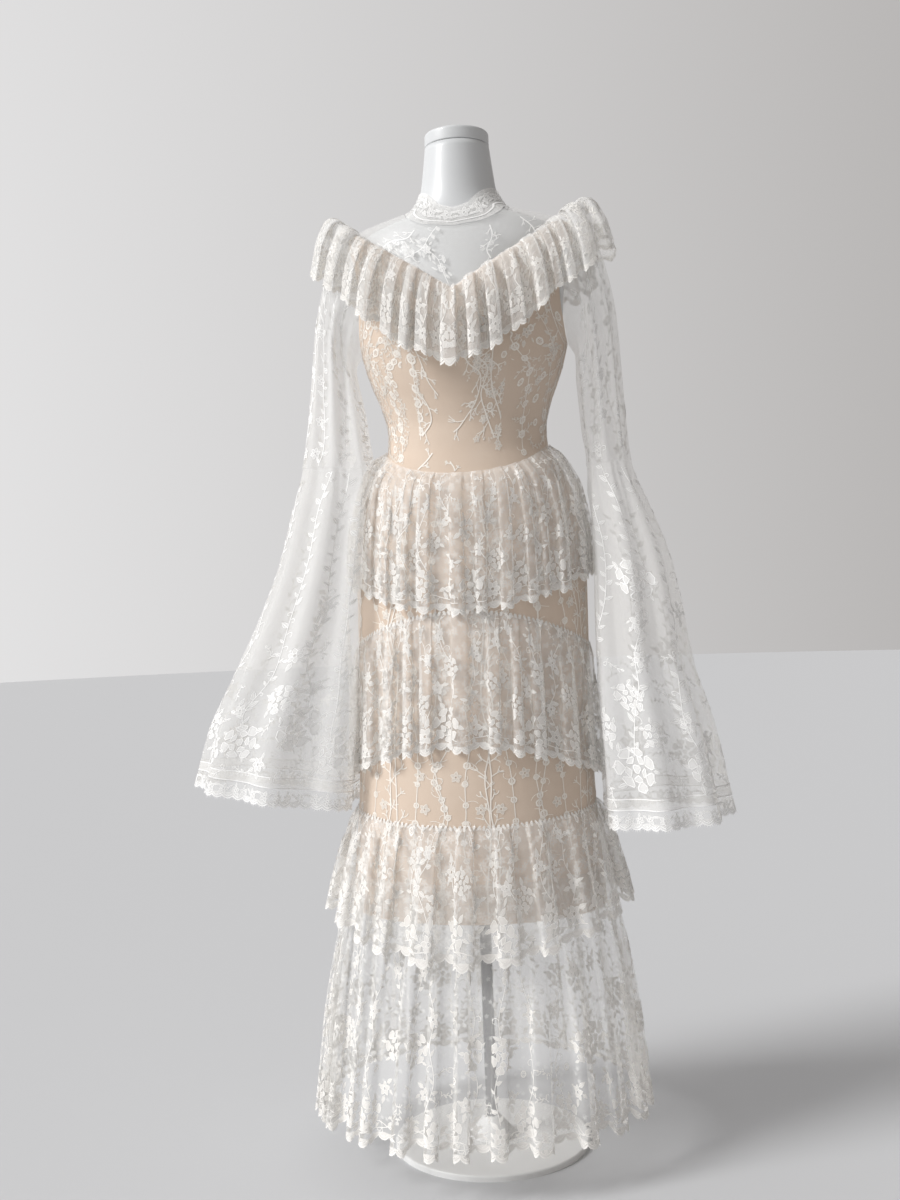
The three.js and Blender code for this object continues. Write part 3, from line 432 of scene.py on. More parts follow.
# %% [markdown]
# Three sets of parallel threads cross at 60 degrees, which leaves the small six-sided holes
# of bobbinet. On the denser lace, tiny five-petalled flowers are worked into the net. Each
# one is a circle whose radius swells and shrinks five times round the middle of its cell.

# %% Net and lace ground
IVORY = (0.93, 0.92, 0.895)
EYELET_SHARE, WORKED_ALPHA = 0.16, 0.5


def net_finish(name, color, thread, hole, flower=0.0, cell=0.012):
    finish = Finish(name, color, 0.8, Sheen_Weight=0.25, Sheen_Roughness=0.5)
    uv, math_node = finish.cloth_uv(), finish.math
    alpha = math_node("MULTIPLY_ADD", finish.web(uv), thread - hole, hole)
    if flower:
        cells = finish.node("TexVoronoi", uv, voronoi_dimensions="2D", Scale=1 / cell)
        away = finish.node("VectorMath", uv, cells["Position"], operation="SUBTRACT")[0]
        local = finish.node("SeparateXYZ", away)
        reach = finish.node("VectorMath", away, operation="LENGTH")["Value"]
        turn = math_node("ARCTAN2", local["Y"], local["X"])
        start = math_node("MULTIPLY", finish.node("SeparateColor", cells["Color"])[0], 6.28)
        petals = math_node("COSINE", math_node("MULTIPLY_ADD", turn, 5.0, start))
        radius = math_node("MULTIPLY", math_node("MULTIPLY_ADD", petals, 0.34, 0.66), flower)
        inside = math_node("LESS_THAN", reach, radius)
        eyelet = math_node("GREATER_THAN", reach, flower * EYELET_SHARE)
        worked = math_node("MULTIPLY", math_node("MULTIPLY", inside, eyelet), WORKED_ALPHA)
        alpha = math_node("MAXIMUM", alpha, worked)
    finish.feed(finish.sockets["Alpha"], alpha)
    return finish.material


SHEER_NET = net_finish("sheer_net", IVORY, thread=0.50, hole=0.08)
BOTTOM_NET = net_finish("bottom_net", IVORY, thread=0.42, hole=0.06, flower=0.0034, cell=0.018)
SLEEVE_NET = net_finish("sleeve_net", IVORY, thread=0.54, hole=0.13)
TIER_NET = net_finish("tier_net", IVORY, thread=0.48, hole=0.13, flower=0.0055, cell=0.014)
RUFFLE_NET = net_finish("ruffle_net", IVORY, thread=0.62, hole=0.28, flower=0.0050, cell=0.013)

# %% [markdown]
# The worked petals are close rows of shiny thread, so their finish is almost closed and has
# fine ridges. The cord that outlines them is thicker and brighter. The lining is a plain
# matte cloth in a warm skin tone, with a weave too fine to see from a step away.


# %% Thread, cord, lining and form
def thread_finish(name, color, roughness, alpha, ridge):
    finish = Finish(name, color, roughness, Alpha=alpha, Sheen_Weight=0.5, Sheen_Roughness=0.4)
    bands = {"wave_type": "BANDS", "bands_direction": "DIAGONAL", "Scale": 260, "Distortion": 6}
    wave = finish.node("TexWave", finish.cloth_uv(), Detail_Scale=3, **bands)
    finish.bump(wave["Fac"], ridge, 0.0004)
    finish.tint(finish.noise(finish.cloth_uv(), 300), tuple(0.93 * v for v in color), color)
    return finish.material


WHITE = [
    thread_finish("white_petals", (0.93, 0.925, 0.91), 0.6, 0.66, 0.3),
    thread_finish("white_cord", (0.94, 0.935, 0.92), 0.5, 1.0, 0.3),
]
IVORY_LACE = [
    thread_finish("ivory_petals", (0.92, 0.895, 0.855), 0.6, 0.80, 0.5),
    thread_finish("ivory_cord", (0.94, 0.92, 0.885), 0.5, 0.95, 0.3),
]
WARM = [
    thread_finish("cream_petals", (0.84, 0.77, 0.69), 0.65, 0.85, 0.5),
    thread_finish("cream_cord", (0.93, 0.875, 0.80), 0.55, 1.0, 0.3),
]


def lined_finish():
    """Lining with fine net sewn over it: pale threads on a warm ground."""
    finish = Finish("lined_net", (0.69, 0.52, 0.40), 0.82, Sheen_Weight=0.2, Sheen_Roughness=0.6)
    uv = finish.cloth_uv()
    web = finish.web(uv)
    finish.bump(web, 0.2, 0.0003)
    soft = finish.math("MULTIPLY", finish.noise(uv, 14, 3.0), 0.30)
    finish.tint(finish.math("MULTIPLY_ADD", web, 0.42, soft), (0.56, 0.425, 0.32), (0.81, 0.715, 0.615))
    return finish.material


def shell_finish(name, color, roughness, spread, **sockets):
    finish = Finish(name, color, roughness, **sockets)
    place = finish.node("TexCoord")["Object"]
    finish.bump(finish.noise(place, 900), 0.06, 0.0004)
    finish.tint(finish.noise(place, 9, 4.0), tuple(v * (1 - spread) for v in color), color)
    return finish.material


LINED = lined_finish()
FORM_SHELL = shell_finish("form_shell", (0.60, 0.61, 0.615), 0.42, 0.03, Coat_Weight=0.15)
POLE_METAL = shell_finish("pole_metal", (0.27, 0.27, 0.28), 0.38, 0.08, Metallic=0.6)
BASE_PAINT = shell_finish("base_paint", (0.80, 0.80, 0.79), 0.45, 0.04)

# %% [markdown]
# The lace motifs are flat shapes, drawn once on the table in millimetres and then laid on
# the cloth. A petal is a closed outline filled from its middle, and its cord is a narrow
# strip along the outline. Each point has a lift, so petals stand a little off the net.


# %% Flat shapes for lace
def direction(degrees):
    """A step of 1 in a direction."""
    return np.array([math.cos(math.radians(degrees)), math.sin(math.radians(degrees))])


def turned(points, degrees):
    c, s = direction(degrees)
    return points @ np.array([[c, s], [-s, c]])


class Shapes:
    """Flat triangles: points in millimetres, how far they lift, and which thread they are."""

    def __init__(self):
        self.points, self.lifts, self.faces, self.threads = [], [], [], []
        self.count = 0

    def add(self, points, faces, lift, thread):
        self.points.append(points)
        self.lifts.append(np.broadcast_to(lift, len(points)))
        self.faces.append(np.array(faces) + self.count)
        self.threads.append(np.full(len(faces), thread))
        self.count += len(points)

    def fill(self, outline, lift, dome):
        """A closed outline filled from its middle."""
        n = len(outline)
        points = np.concatenate([outline, outline.mean(0, keepdims=True)])
        faces = [(i, (i + 1) % n, n) for i in range(n)]
        lifts = np.full(n + 1, lift)
        lifts[-1] += dome
        self.add(points, faces, lifts, 0)

    def petal(self, outline, lift, dome, width, cord_lift):
        """A filled outline with a cord round it."""
        self.fill(outline, lift, dome)
        self.cord(outline, width, cord_lift, closed=True)

    def cord(self, path, width, lift, closed=False):
        """A narrow strip along a path."""
        behind, ahead = neighbours(path, 0, closed)
        along = unit(ahead - behind)
        side = np.stack([-along[:, 1], along[:, 0]], 1) * (width / 2)
        n = len(path)
        faces = []
        for i in range(n if closed else n - 1):
            j = (i + 1) % n
            faces += [(i, j, n + j), (i, n + j, n + i)]
        self.add(np.concatenate([path + side, path - side]), faces, lift, 1)

    def joined(self):
        """Everything in one, with each triangle turned to face up."""
        points, faces = np.concatenate(self.points), np.concatenate(self.faces)
        a, b, c = (points[faces[:, k]] for k in range(3))
        area = (b - a)[:, 0] * (c - a)[:, 1] - (b - a)[:, 1] * (c - a)[:, 0]
        faces = np.where((area < 0)[:, None], faces[:, ::-1], faces)
        return points, np.concatenate(self.lifts), faces, np.concatenate(self.threads)

    def stamp(self, motif, x, y, turn=0.0, size=1.0):
        """Copies a finished motif to a place, turned and sized."""
        points, lifts, faces, threads = motif
        self.add(turned(points * size, turn) + (x, y), faces, lifts, threads)

# %% [markdown]
# A rose has two rings of broad petals, the inner one smaller and higher, with net showing
# between them. A blossom has petals round an open eye. Leaves and buds have a cord for a rib.


# %% Rose, blossom, leaf and bud
def scalloped_ring(radius, petals, dip, start, per_petal=6):
    turn = np.arange(petals * per_petal) / (petals * per_petal) * 2 * math.pi
    swell = np.abs(np.sin(petals * turn / 2)) ** 0.6
    reach = radius * (1 - dip + dip * swell)
    return np.stack([reach * np.cos(turn + start), reach * np.sin(turn + start)], 1)


def teardrop(length, width, steps=4, foot=0.75, fullness=1):
    """A leaf or a petal. A larger foot moves its broadest place towards the tip."""
    t = np.linspace(0, 1, steps)
    half = width / 2 * np.sin(math.pi * t**foot) ** fullness
    lower = np.stack([length * t[-2:0:-1], -half[-2:0:-1]], 1)
    return np.concatenate([np.stack([length * t, half], 1), lower])


def rose_motif():
    shapes = Shapes()
    for count, foot, length, width, start, lift in ((7, 12, 11.5, 14, 0, 0.35), (5, 6.4, 7.5, 10, 30, 0.6)):
        for k in range(count):
            size = 0.88 + 0.12 * math.cos(2.4 * k)
            petal = teardrop(length * size, width, 5, 1.5, 0.7) + (foot, 0)
            shapes.petal(turned(petal, 360 * k / count + start), lift, 0.35, 1.15, lift + 0.3)
    shapes.petal(scalloped_ring(0.22, 3, 0.3, 1.0, 4) * 20, 0.9, 0.5, 1.1, 1.1)
    return shapes.joined()


def blossom_motif(petals):
    shapes = Shapes()
    for k in range(petals):
        shapes.petal(turned(teardrop(7.6, 6.4) + (2.2, 0), 360 * k / petals), 0.4, 0.3, 0.9, 0.7)
    shapes.cord(scalloped_ring(2.4, 4, 0.0, 0, 3), 1.1, 0.9, closed=True)
    return shapes.joined()


def leaf_motif(length, width):
    shapes = Shapes()
    shapes.petal(teardrop(length, width), 0.35, 0.3, 0.8, 0.6)
    shapes.cord(np.array([[0, 0], [length * 0.5, 0.3], [length * 0.9, 0]]), 0.8, 0.75)
    return shapes.joined()


def ring_motif():
    """A small worked ring with an open eye, as in the chains of rosettes."""
    shapes = Shapes()
    shapes.cord(scalloped_ring(5.2, 6, 0.12, 0, 4), 2.6, 0.5, closed=True)
    shapes.cord(scalloped_ring(2.0, 3, 0.0, 0, 3), 0.9, 0.7, closed=True)
    for k in range(5):
        shapes.cord(turned(np.array([[2.2, 0], [4.2, 0]]), 72 * k), 0.7, 0.6)
    return shapes.joined()


ROSE = rose_motif()
BLOSSOM_5, BLOSSOM_6 = blossom_motif(5), blossom_motif(6)
LEAF, NARROW_LEAF, BUD = leaf_motif(15, 7), leaf_motif(13, 4), leaf_motif(7, 4.6)
RING = ring_motif()
print("triangles in a rose, blossom, leaf:", len(ROSE[2]), len(BLOSSOM_5[2]), len(LEAF[2]))

# %% [markdown]
# A vine joins the flowers. It is a smooth curve through a few given points, with leaves set alternately along
# it and a thin tendril here and there that curls at its end.


# %% Vines, tendrils and sprays
TENDRIL_SHARE = 0.22


def lengths_along(path):
    """How far each point of a path is from its start."""
    return np.concatenate([[0], np.cumsum(np.linalg.norm(np.diff(path, axis=0), axis=1))])


def glide(a, b, c, d, t):
    """The smooth curve from b to c, which takes its slopes from a and d."""
    return 0.5 * (2 * b + (c - a) * t + (2 * a - 5 * b + 4 * c - d) * t**2 + (3 * b - a - 3 * c + d) * t**3)


def smooth_path(points, step=4.0):
    points = np.array(points, float)
    lengths = lengths_along(points)
    at = np.linspace(0, lengths[-1], max(int(lengths[-1] / step), 3) + 1)
    ends = np.concatenate([[2 * points[0] - points[1]], points, [2 * points[-1] - points[-2]]])
    row = np.clip(np.searchsorted(lengths, at, side="right") - 1, 0, len(points) - 2)
    t = ((at - lengths[row]) / (lengths[row + 1] - lengths[row]))[:, None]
    return glide(*(ends[row + k] for k in range(4)), t)


def way_on(path, k):
    """The direction of a path at one of its points, in degrees."""
    x, y = path[min(k + 1, len(path) - 1)] - path[max(k - 1, 0)]
    return math.degrees(math.atan2(y, x))


def tendril(shapes, x, y, turn, length, curl, width=0.9):
    t = np.linspace(0, 1, 6)
    turns = np.radians(turn) + np.radians(curl) * t**2
    steps = length / 5 * np.stack([np.cos(turns), np.sin(turns)], 1)
    shapes.cord(np.array([x, y]) + np.cumsum(steps, 0) - steps[0], width, 0.5)


def vine(shapes, points, rng, leaf_every=12, leaf_size=0.8):
    path = smooth_path(points)
    shapes.cord(path, 1.2, 0.6)
    along = lengths_along(path)[1:]
    side = 1
    for at in np.arange(leaf_every * 0.6, along[-1], leaf_every):
        i = int(np.searchsorted(along, at))
        turn = way_on(path, i) + side * rng.uniform(38, 62)
        size = leaf_size * rng.uniform(0.75, 1.15)
        if rng.random() < TENDRIL_SHARE:
            tendril(shapes, *path[i], turn, rng.uniform(14, 24), side * rng.uniform(120, 260))
        else:
            shapes.stamp((LEAF, NARROW_LEAF)[int(rng.random() < 0.4)], *path[i], turn, size)
        side = -side


def spray(shapes, x, y, reach, rng, count, size):
    """Leaves and buds that fan out from behind a flower."""
    for k in range(count):
        turn = 360 * (k + rng.uniform(-0.35, 0.35)) / count
        motif = (LEAF, LEAF, NARROW_LEAF, BUD)[int(rng.integers(4))]
        foot = np.array([x, y]) + reach * direction(turn)
        shapes.stamp(motif, *foot, turn + rng.uniform(-50, 50), size * rng.uniform(0.55, 1.1))


def twig_motif(points, curl):
    """A short curved stem with small leaves, a bud at its tip and a tendril."""
    shapes = Shapes()
    path = smooth_path(points, 4.5)
    shapes.cord(path, 0.9, 0.5)
    for k in range(1, len(path) - 1):
        shapes.stamp(NARROW_LEAF, *path[k], way_on(path, k) + (50 if k % 2 else -50), 0.42 + 0.08 * (k % 3))
    shapes.stamp(BUD, *path[-1], curl / 4, 0.75)
    tendril(shapes, *path[1], curl, 11, curl * 2, 0.8)
    return shapes.joined()


TWIGS = (
    twig_motif([(-12, -5), (-5, 1), (4, 0), (12, 6)], 70),
    twig_motif([(-11, 3), (-3, 5), (4, -2), (12, -4)], -80),
    twig_motif([(-9, -8), (-6, 0), (1, 4), (9, 4)], 100),
)

# %% [markdown]
# Machine lace repeats along its width. A repeat is laid out as a short table of flowers and vine points above
# the scalloped edge. The gaps are then filled with small leaves and rings, with seeded random places, so every
# run gives the same lace.


# %% Repeats of lace
def scatter(shapes, taken, width, low, high, gap, rng, motifs, size):
    """Fills the open places of a repeat with small motifs."""
    for _ in range(int(width * (high - low) / gap**2 * 6)):
        x, y = rng.uniform(-width / 2, width / 2), rng.uniform(low, high)
        near = [math.hypot((x - a + width / 2) % width - width / 2, y - b) - r for a, b, r in taken]
        if not near or min(near) >= gap * 0.5:
            motif = motifs[int(rng.integers(len(motifs)))]
            shapes.stamp(motif, x, y, rng.uniform(0, 360), rng.uniform(*size))
            taken.append((x, y, gap * 0.5))


def set_roses(shapes, taken, flowers, rng, leaf_size, margin):
    """Flowers from a table of motif, x, y, turn, size and number of leaves."""
    for motif, x, y, turn, size, leaves in flowers:
        reach = float(np.abs(motif[0]).max()) * size
        spray(shapes, x, y, reach * 0.85, rng, leaves, leaf_size)
        shapes.stamp(motif, x, y, turn, size)
        taken.append((x, y, reach + margin))


def lace_repeat(width, height, flowers, vines, seed, gap, sizes=(0.75, 1.1)):
    """One repeat: x runs across from its middle, y runs up from the edge of the lace."""
    rng = np.random.default_rng(seed)
    shapes, taken = Shapes(), []
    for points in vines:
        vine(shapes, points, rng)
        taken += [(x, y, 7) for x, y in smooth_path(points, 9)]
    larger = [(motif, x, y, turn, size * 1.2, leaves) for motif, x, y, turn, size, leaves in flowers]
    set_roses(shapes, taken, larger, rng, 0.95, 9)
    scatter(shapes, taken, width, 12, height, gap, rng, (*TWIGS, *TWIGS, RING), sizes)
    return shapes.joined()

# %% [markdown]
# Laying lace on cloth turns each flat point into a place on the sheet. Faces that would
# pass the cloth's own edges are cut off, as scissors do, except for an edging, which
# hangs free. Each piece of lace is kept under the name of the cloth that carries it.


# %% Lay lace on cloth
CUT_MARGIN = 0.5
laces = {}


def lay_lace(name, cloth, jobs, materials):
    """jobs: motif, across, down, flip, free. The motif's y runs up the cloth."""
    points, faces, threads, uvs, count = [], [], [], [], 0
    for (flat, lifts, own_faces, own_threads), across, down, flip, free in jobs:
        dx = -flat[:, 0] if flip else flat[:, 0]
        laid, target = cloth.lay(across, down, dx, -flat[:, 1], lifts)
        keep = np.ones(len(own_faces), bool)
        if not free:
            inside = (target > CUT_MARGIN) & (target < cloth.length - CUT_MARGIN)
            if not cloth.ring:
                half = np.interp(target, cloth.down, cloth.width) / 2
                inside &= np.abs(across + dx) < half - CUT_MARGIN
            keep = inside[own_faces].all(1)
        kept = own_faces[keep]
        faces.append((kept[:, ::-1] if flip else kept) + count)
        threads.append(own_threads[keep])
        points.append(laid)
        uvs.append(np.stack([across + dx, -target], 1))
        count += len(flat)
    points, faces, threads, uvs = (np.concatenate(parts) for parts in (points, faces, threads, uvs))
    used, faces = np.unique(faces, return_inverse=True)
    faces = faces.reshape(-1, 3)
    piece = new_piece(name, points[used], faces, materials, uvs[used][faces.ravel()] * MM, threads)
    print(f"{name}: {len(faces)} triangles of lace")
    laces.setdefault(name.rsplit("_", 1)[0], []).append(piece)


def tiled(cloth, repeats, pitch, width):
    """Places a row of repeats side by side, with every second one turned over."""
    count = max(round(width / pitch), 1)
    step = width / count
    return [
        (repeats[k % len(repeats)], (k + 0.5) * step - width / 2, cloth.length, k % 2 == 1, False)
        for k in range(count)
    ]

# %% [markdown]
# The edge of each flounce is scalloped: a row of small half-round lobes, each with a cord
# round it and a tuft of short threads, like eyelashes, beyond it.


# %% Scalloped and lashed edges
def scallop_motif(pitch, depth, rng, lashes, lash_length):
    shapes = Shapes()
    t = np.linspace(0, 1, 9)
    arc = np.stack([pitch * (t - 0.5), -depth * np.sin(math.pi * t) ** 0.7], 1)
    shapes.fill(np.concatenate([arc, [[pitch / 2, 4.0], [0, 5.0], [-pitch / 2, 4.0]]]), 0.15, 0.1)
    shapes.cord(arc, 1.3, 0.4)
    shapes.cord(np.stack([pitch * (t - 0.5) * 0.8, 2.6 - depth * 0.8 * np.sin(math.pi * t)], 1), 0.8, 0.45)
    shapes.cord(scalloped_ring(1.5, 3, 0, 0, 3) + (0, -depth * 0.15), 0.8, 0.5, closed=True)
    for at in (np.arange(lashes) + 0.5) / lashes + rng.uniform(-0.05, 0.05, lashes):
        foot = np.array([pitch * (at - 0.5), -depth * math.sin(math.pi * at) ** 0.7])
        tip = foot + lash_length * direction(-90 + 60 * (at - 0.5) + rng.uniform(-12, 12))
        shapes.add(np.array([foot - (0.35, 0), foot + (0.35, 0), tip]), [(0, 2, 1)], 0.3, 1)
    return shapes.joined()


def edging(cloth, pitch, depth, seed, top=False, lashes=4, lash_length=3.0):
    """A scalloped edge along the hem of a cloth, or along its top edge."""
    rng = np.random.default_rng(seed)
    lobes = [scallop_motif(pitch, depth, rng, lashes, lash_length) for _ in range(4)]
    width = cloth.width[0 if top else -1]
    count = round(width / pitch)
    jobs = []
    for k in range(count):
        points, lifts, faces, threads = lobes[k % 4]
        points = points * (width / count / pitch, -1 if top else 1)
        lobe = (points, lifts, faces[:, ::-1] if top else faces, threads)
        jobs.append((lobe, (k + 0.5) * width / count - width / 2, 0 if top else cloth.length, False, True))
    return jobs


def run_of_cord(length, width, lift, y):
    """A straight run of cord, such as the edge of a band."""
    n = max(int(length / 6), 2)
    shapes = Shapes()
    shapes.cord(np.stack([np.linspace(-length / 2, length / 2, n + 1), np.full(n + 1, y)], 1), width, lift)
    return shapes.joined()

# %% [markdown]
# The dress form is a smooth hollow shell of glossy white plastic. It is lofted through
# the block's rings, set in by the cloth's clearance, and drawn in at the arm plates. Rings
# that shrink to a point close it above and below, and their doubles are then merged.

# %% The torso of the form
FORM_CLEARANCE, FORM_BOTTOM_Z, NECK_TOP_Z, CAP_TOP_Z = 3, 790, 1537, 1558
side_inset = curve_through([1170, 1230, 1396, 1422, 1440], [0, 6, 13.5, 4, 0])


def edit(piece, kind, chosen):
    """Opens a piece in edit mode, with only the chosen points, edges or faces selected."""
    bpy.ops.object.select_all(action="DESELECT")
    piece.select_set(True)
    bpy.context.view_layer.objects.active = piece
    bpy.ops.object.mode_set(mode="EDIT")
    bpy.ops.mesh.select_mode(type=kind)
    bpy.ops.mesh.select_all(action="DESELECT")
    bpy.ops.object.mode_set(mode="OBJECT")
    for part in {"VERT": piece.data.vertices, "EDGE": piece.data.edges, "FACE": piece.data.polygons}[kind]:
        part.select = chosen(part)
    bpy.ops.object.mode_set(mode="EDIT")


def finish_edit(piece, angle):
    bpy.ops.object.mode_set(mode="OBJECT")
    bpy.ops.object.shade_smooth_by_angle(angle=math.radians(angle))
    print(piece.name, len(piece.data.polygons), "faces")


def form_ring(z, shrink=1.0, columns=96):
    angle = np.arange(columns) * 360 / columns
    ring = off_block(angle, z, -FORM_CLEARANCE - side_inset(z) * np.sin(np.radians(angle)) ** 2)
    middle = ring.mean(0)
    return middle + (ring - middle) * (shrink, shrink, 1)


def form_torso():
    rings = [form_ring(NECK_TOP_Z, s) for s in (0, 0.5, 0.96)]
    rings += [form_ring(z) for z in np.arange(NECK_TOP_Z - 0.4, FORM_BOTTOM_Z + 6, -8)]
    rings += [form_ring(FORM_BOTTOM_Z + 5), form_ring(FORM_BOTTOM_Z + 1.5, 0.99)]
    rings += [form_ring(FORM_BOTTOM_Z, s) for s in (0.96, 0.5, 0)]
    cloth = Cloth(np.stack(rings), ring=True)
    piece = sheet_piece("dress_form_torso", cloth, FORM_SHELL)
    edit(piece, "VERT", lambda point: True)
    bpy.ops.mesh.remove_doubles(threshold=0.05 * MM)
    bpy.ops.object.mode_set(mode="OBJECT")
    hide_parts("form_torso")
    print("form:", len(piece.data.polygons), "faces")


form_torso()

# %% [markdown]
# The neck cap, the pole and the base are turned parts. Each starts as a cylinder at its
# size and place, and its sharp edges are then rounded with a bevel in edit mode.


# %% Neck cap, pole and base
def cylinder(name, radius, bottom, top, material, replaces, sides=96):
    bpy.ops.object.select_all(action="DESELECT")
    size = {"radius": radius * MM, "depth": (top - bottom) * MM, "location": (0, 0, (bottom + top) / 2 * MM)}
    bpy.ops.mesh.primitive_cylinder_add(vertices=sides, **size)
    piece = bpy.context.object
    piece.name = name
    bpy.ops.object.transform_apply(location=True, rotation=True, scale=True)
    piece.data.materials.append(material)
    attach(piece, "root")
    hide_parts(replaces)
    return piece


def round_rim(piece, z, offset, segments):
    """Rounds the edges that lie at a height."""
    points = piece.data.vertices
    edit(piece, "EDGE", lambda edge: all(abs(points[v].co.z - z * MM) < 1e-5 for v in edge.vertices))
    bpy.ops.mesh.bevel(offset=offset * MM, segments=segments, affect="EDGES")
    finish_edit(piece, 40)


CAP_BOTTOM_Z, POLE_BOTTOM_Z, BASE_TOP_Z, HUB_TOP_Z, JOINT_GAP = NECK_TOP_Z + 0.5, 40.3, 9, 40, 0.3
cap = cylinder("neck_cap", 49.5, CAP_BOTTOM_Z, CAP_TOP_Z, FORM_SHELL, "form_neck_cap")
round_rim(cap, CAP_TOP_Z, 5, 5)
round_rim(cap, CAP_BOTTOM_Z, 1.2, 2)
pole_top = FORM_BOTTOM_Z - JOINT_GAP
pole = cylinder("stand_pole_tube", 9, POLE_BOTTOM_Z, pole_top, POLE_METAL, "stand_pole", 48)
round_rim(pole, POLE_BOTTOM_Z, 0.6, 2)
base = cylinder("stand_base_disc", 150, 0, BASE_TOP_Z, BASE_PAINT, "stand_base", 128)
round_rim(base, BASE_TOP_Z, 3, 4)
hub_bottom = BASE_TOP_Z + JOINT_GAP
hub = cylinder("stand_base_hub", 34, hub_bottom, HUB_TOP_Z, BASE_PAINT, "stand_hub", 64)


def flare_hub():
    """Draws the hub's top in to the pole, in two steps, and shades it smooth by angle."""
    edit(hub, "FACE", lambda face: face.normal.z > 0.9)
    bpy.ops.transform.translate(value=(0, 0, -24 * MM))
    for rise, shrink in ((14, 0.62), (10, 0.6)):
        bpy.ops.mesh.extrude_region_move(TRANSFORM_OT_translate={"value": (0, 0, rise * MM)})
        bpy.ops.transform.resize(value=(shrink, shrink, 1), center_override=(0, 0, 0))
    finish_edit(hub, 35)


flare_hub()

# %% [markdown]
# Bodice and skirt are cut from a smooth skin-toned lining with lace over it. Each panel is a patch between its
# four seam lines on the block. The lining is a sheet with a wall, with the net in its finish, and the lace
# motifs are laid as a second piece just outside it.

# %% Cut the panels of the bodice and yoke
PANEL_STAND = 1.5


def patch(edges, columns, rows):
    """A grid between four edges: top and bottom across it, left and right down it."""
    across = np.linspace(0, 1, columns + 1)[None, :]
    down = np.linspace(0, 1, rows + 1)[:, None]
    top, bottom, left, right = edges[0](across), edges[1](across), edges[2](down), edges[3](down)

    def blend(k):
        upper = mix(top[k][:, :1], top[k][:, -1:], across)
        lower = mix(bottom[k][:, :1], bottom[k][:, -1:], across)
        return mix(top[k], bottom[k], down) + mix(left[k], right[k], across) - mix(upper, lower, down)

    angle, z = blend(0), blend(1)
    return Cloth(off_block(angle, z, PANEL_STAND))


def mirror_edges(edges):
    top, bottom, left, right = edges

    def flip(read, turn_round):
        def flipped(at):
            angle, z = read(1 - at if turn_round else at)
            return -angle, z

        return flipped

    return flip(top, True), flip(bottom, True), flip(right, False), flip(left, False)


def level_edge(line, start, end):
    """Part of a line round the block, from one angle to another."""
    return lambda across: (mix(start, end, across), line(mix(start, end, across)))


def upright_edge(angle, top_z, bottom_z):
    return lambda down: (angle + 0 * down, mix(top_z, bottom_z, down))


side_front = (
    lambda across: yoke_seam(mix(PRINCESS_TOP, 1, across)),
    level_edge(waist, PRINCESS_WAIST_ANGLE, 90),
    princess,
    lambda down: side_line(down, False),
)
bodice_back = (
    lambda across: yoke_seam(1 + across),
    level_edge(waist, 90, 180),
    lambda down: side_line(down, True),
    upright_edge(180, BACK_YOKE_Z, WAIST_Z - WAIST_BACK_DIP),
)
yoke_back = (
    level_edge(collar_line, 90, 180),
    lambda across: yoke_seam(1 + across),
    upright_edge(90, NECK_SIDE_Z, SHOULDER_Z),
    upright_edge(180, NECK_BACK_Z, BACK_YOKE_Z),
)
PANELS = {
    "bodice_centre_front": (
        lambda across: yoke_seam(mix(-PRINCESS_TOP, PRINCESS_TOP, across)),
        level_edge(waist, -PRINCESS_WAIST_ANGLE, PRINCESS_WAIST_ANGLE),
        lambda down: (-princess(down)[0], princess(down)[1]),
        princess,
    ),
    "bodice_side_front_left": side_front,
    "bodice_side_front_right": mirror_edges(side_front),
    "bodice_back_left": bodice_back,
    "bodice_back_right": mirror_edges(bodice_back),
    "yoke_front": (
        level_edge(collar_line, -90, 90),
        lambda across: yoke_seam(2 * across - 1),
        upright_edge(-90, NECK_SIDE_Z, SHOULDER_Z),
        upright_edge(90, NECK_SIDE_Z, SHOULDER_Z),
    ),
    "yoke_back_left": yoke_back,
    "yoke_back_right": mirror_edges(yoke_back),
}

# %% [markdown]
# The flounces are gathered: more cloth goes into the seam than the seam is long, so it
# stands in folds. Each fold is a tube with its own width and height, and some start lower
# than others. The tubes' sides are rolled under, and small gathers fade out below the seam.

# %% Fold waves
FOLD_SIZES = np.array([1, 0.72, 1.18, 0.86, 0.6, 1.1, 0.8, 1.25, 0.68, 0.95, 1.12])


def fold_wave(share, folds, per_fold):
    """The height of the folds at a share of the way round."""
    count = folds * per_fold
    columns = np.arange(count)
    sizes = FOLD_SIZES[(columns // per_fold) % len(FOLD_SIZES)]
    heights = np.where(columns % per_fold == 0, sizes, -0.6 * sizes)
    place = np.mod(share, 1) * count
    low = np.floor(place).astype(int)
    soft = (1 - np.cos(math.pi * (place - low))) / 2
    return mix(heights[low % count], heights[(low + 1) % count], soft)


def shares(count):
    """Places all round a strip, from 0 up to 1."""
    return np.arange(count) / count


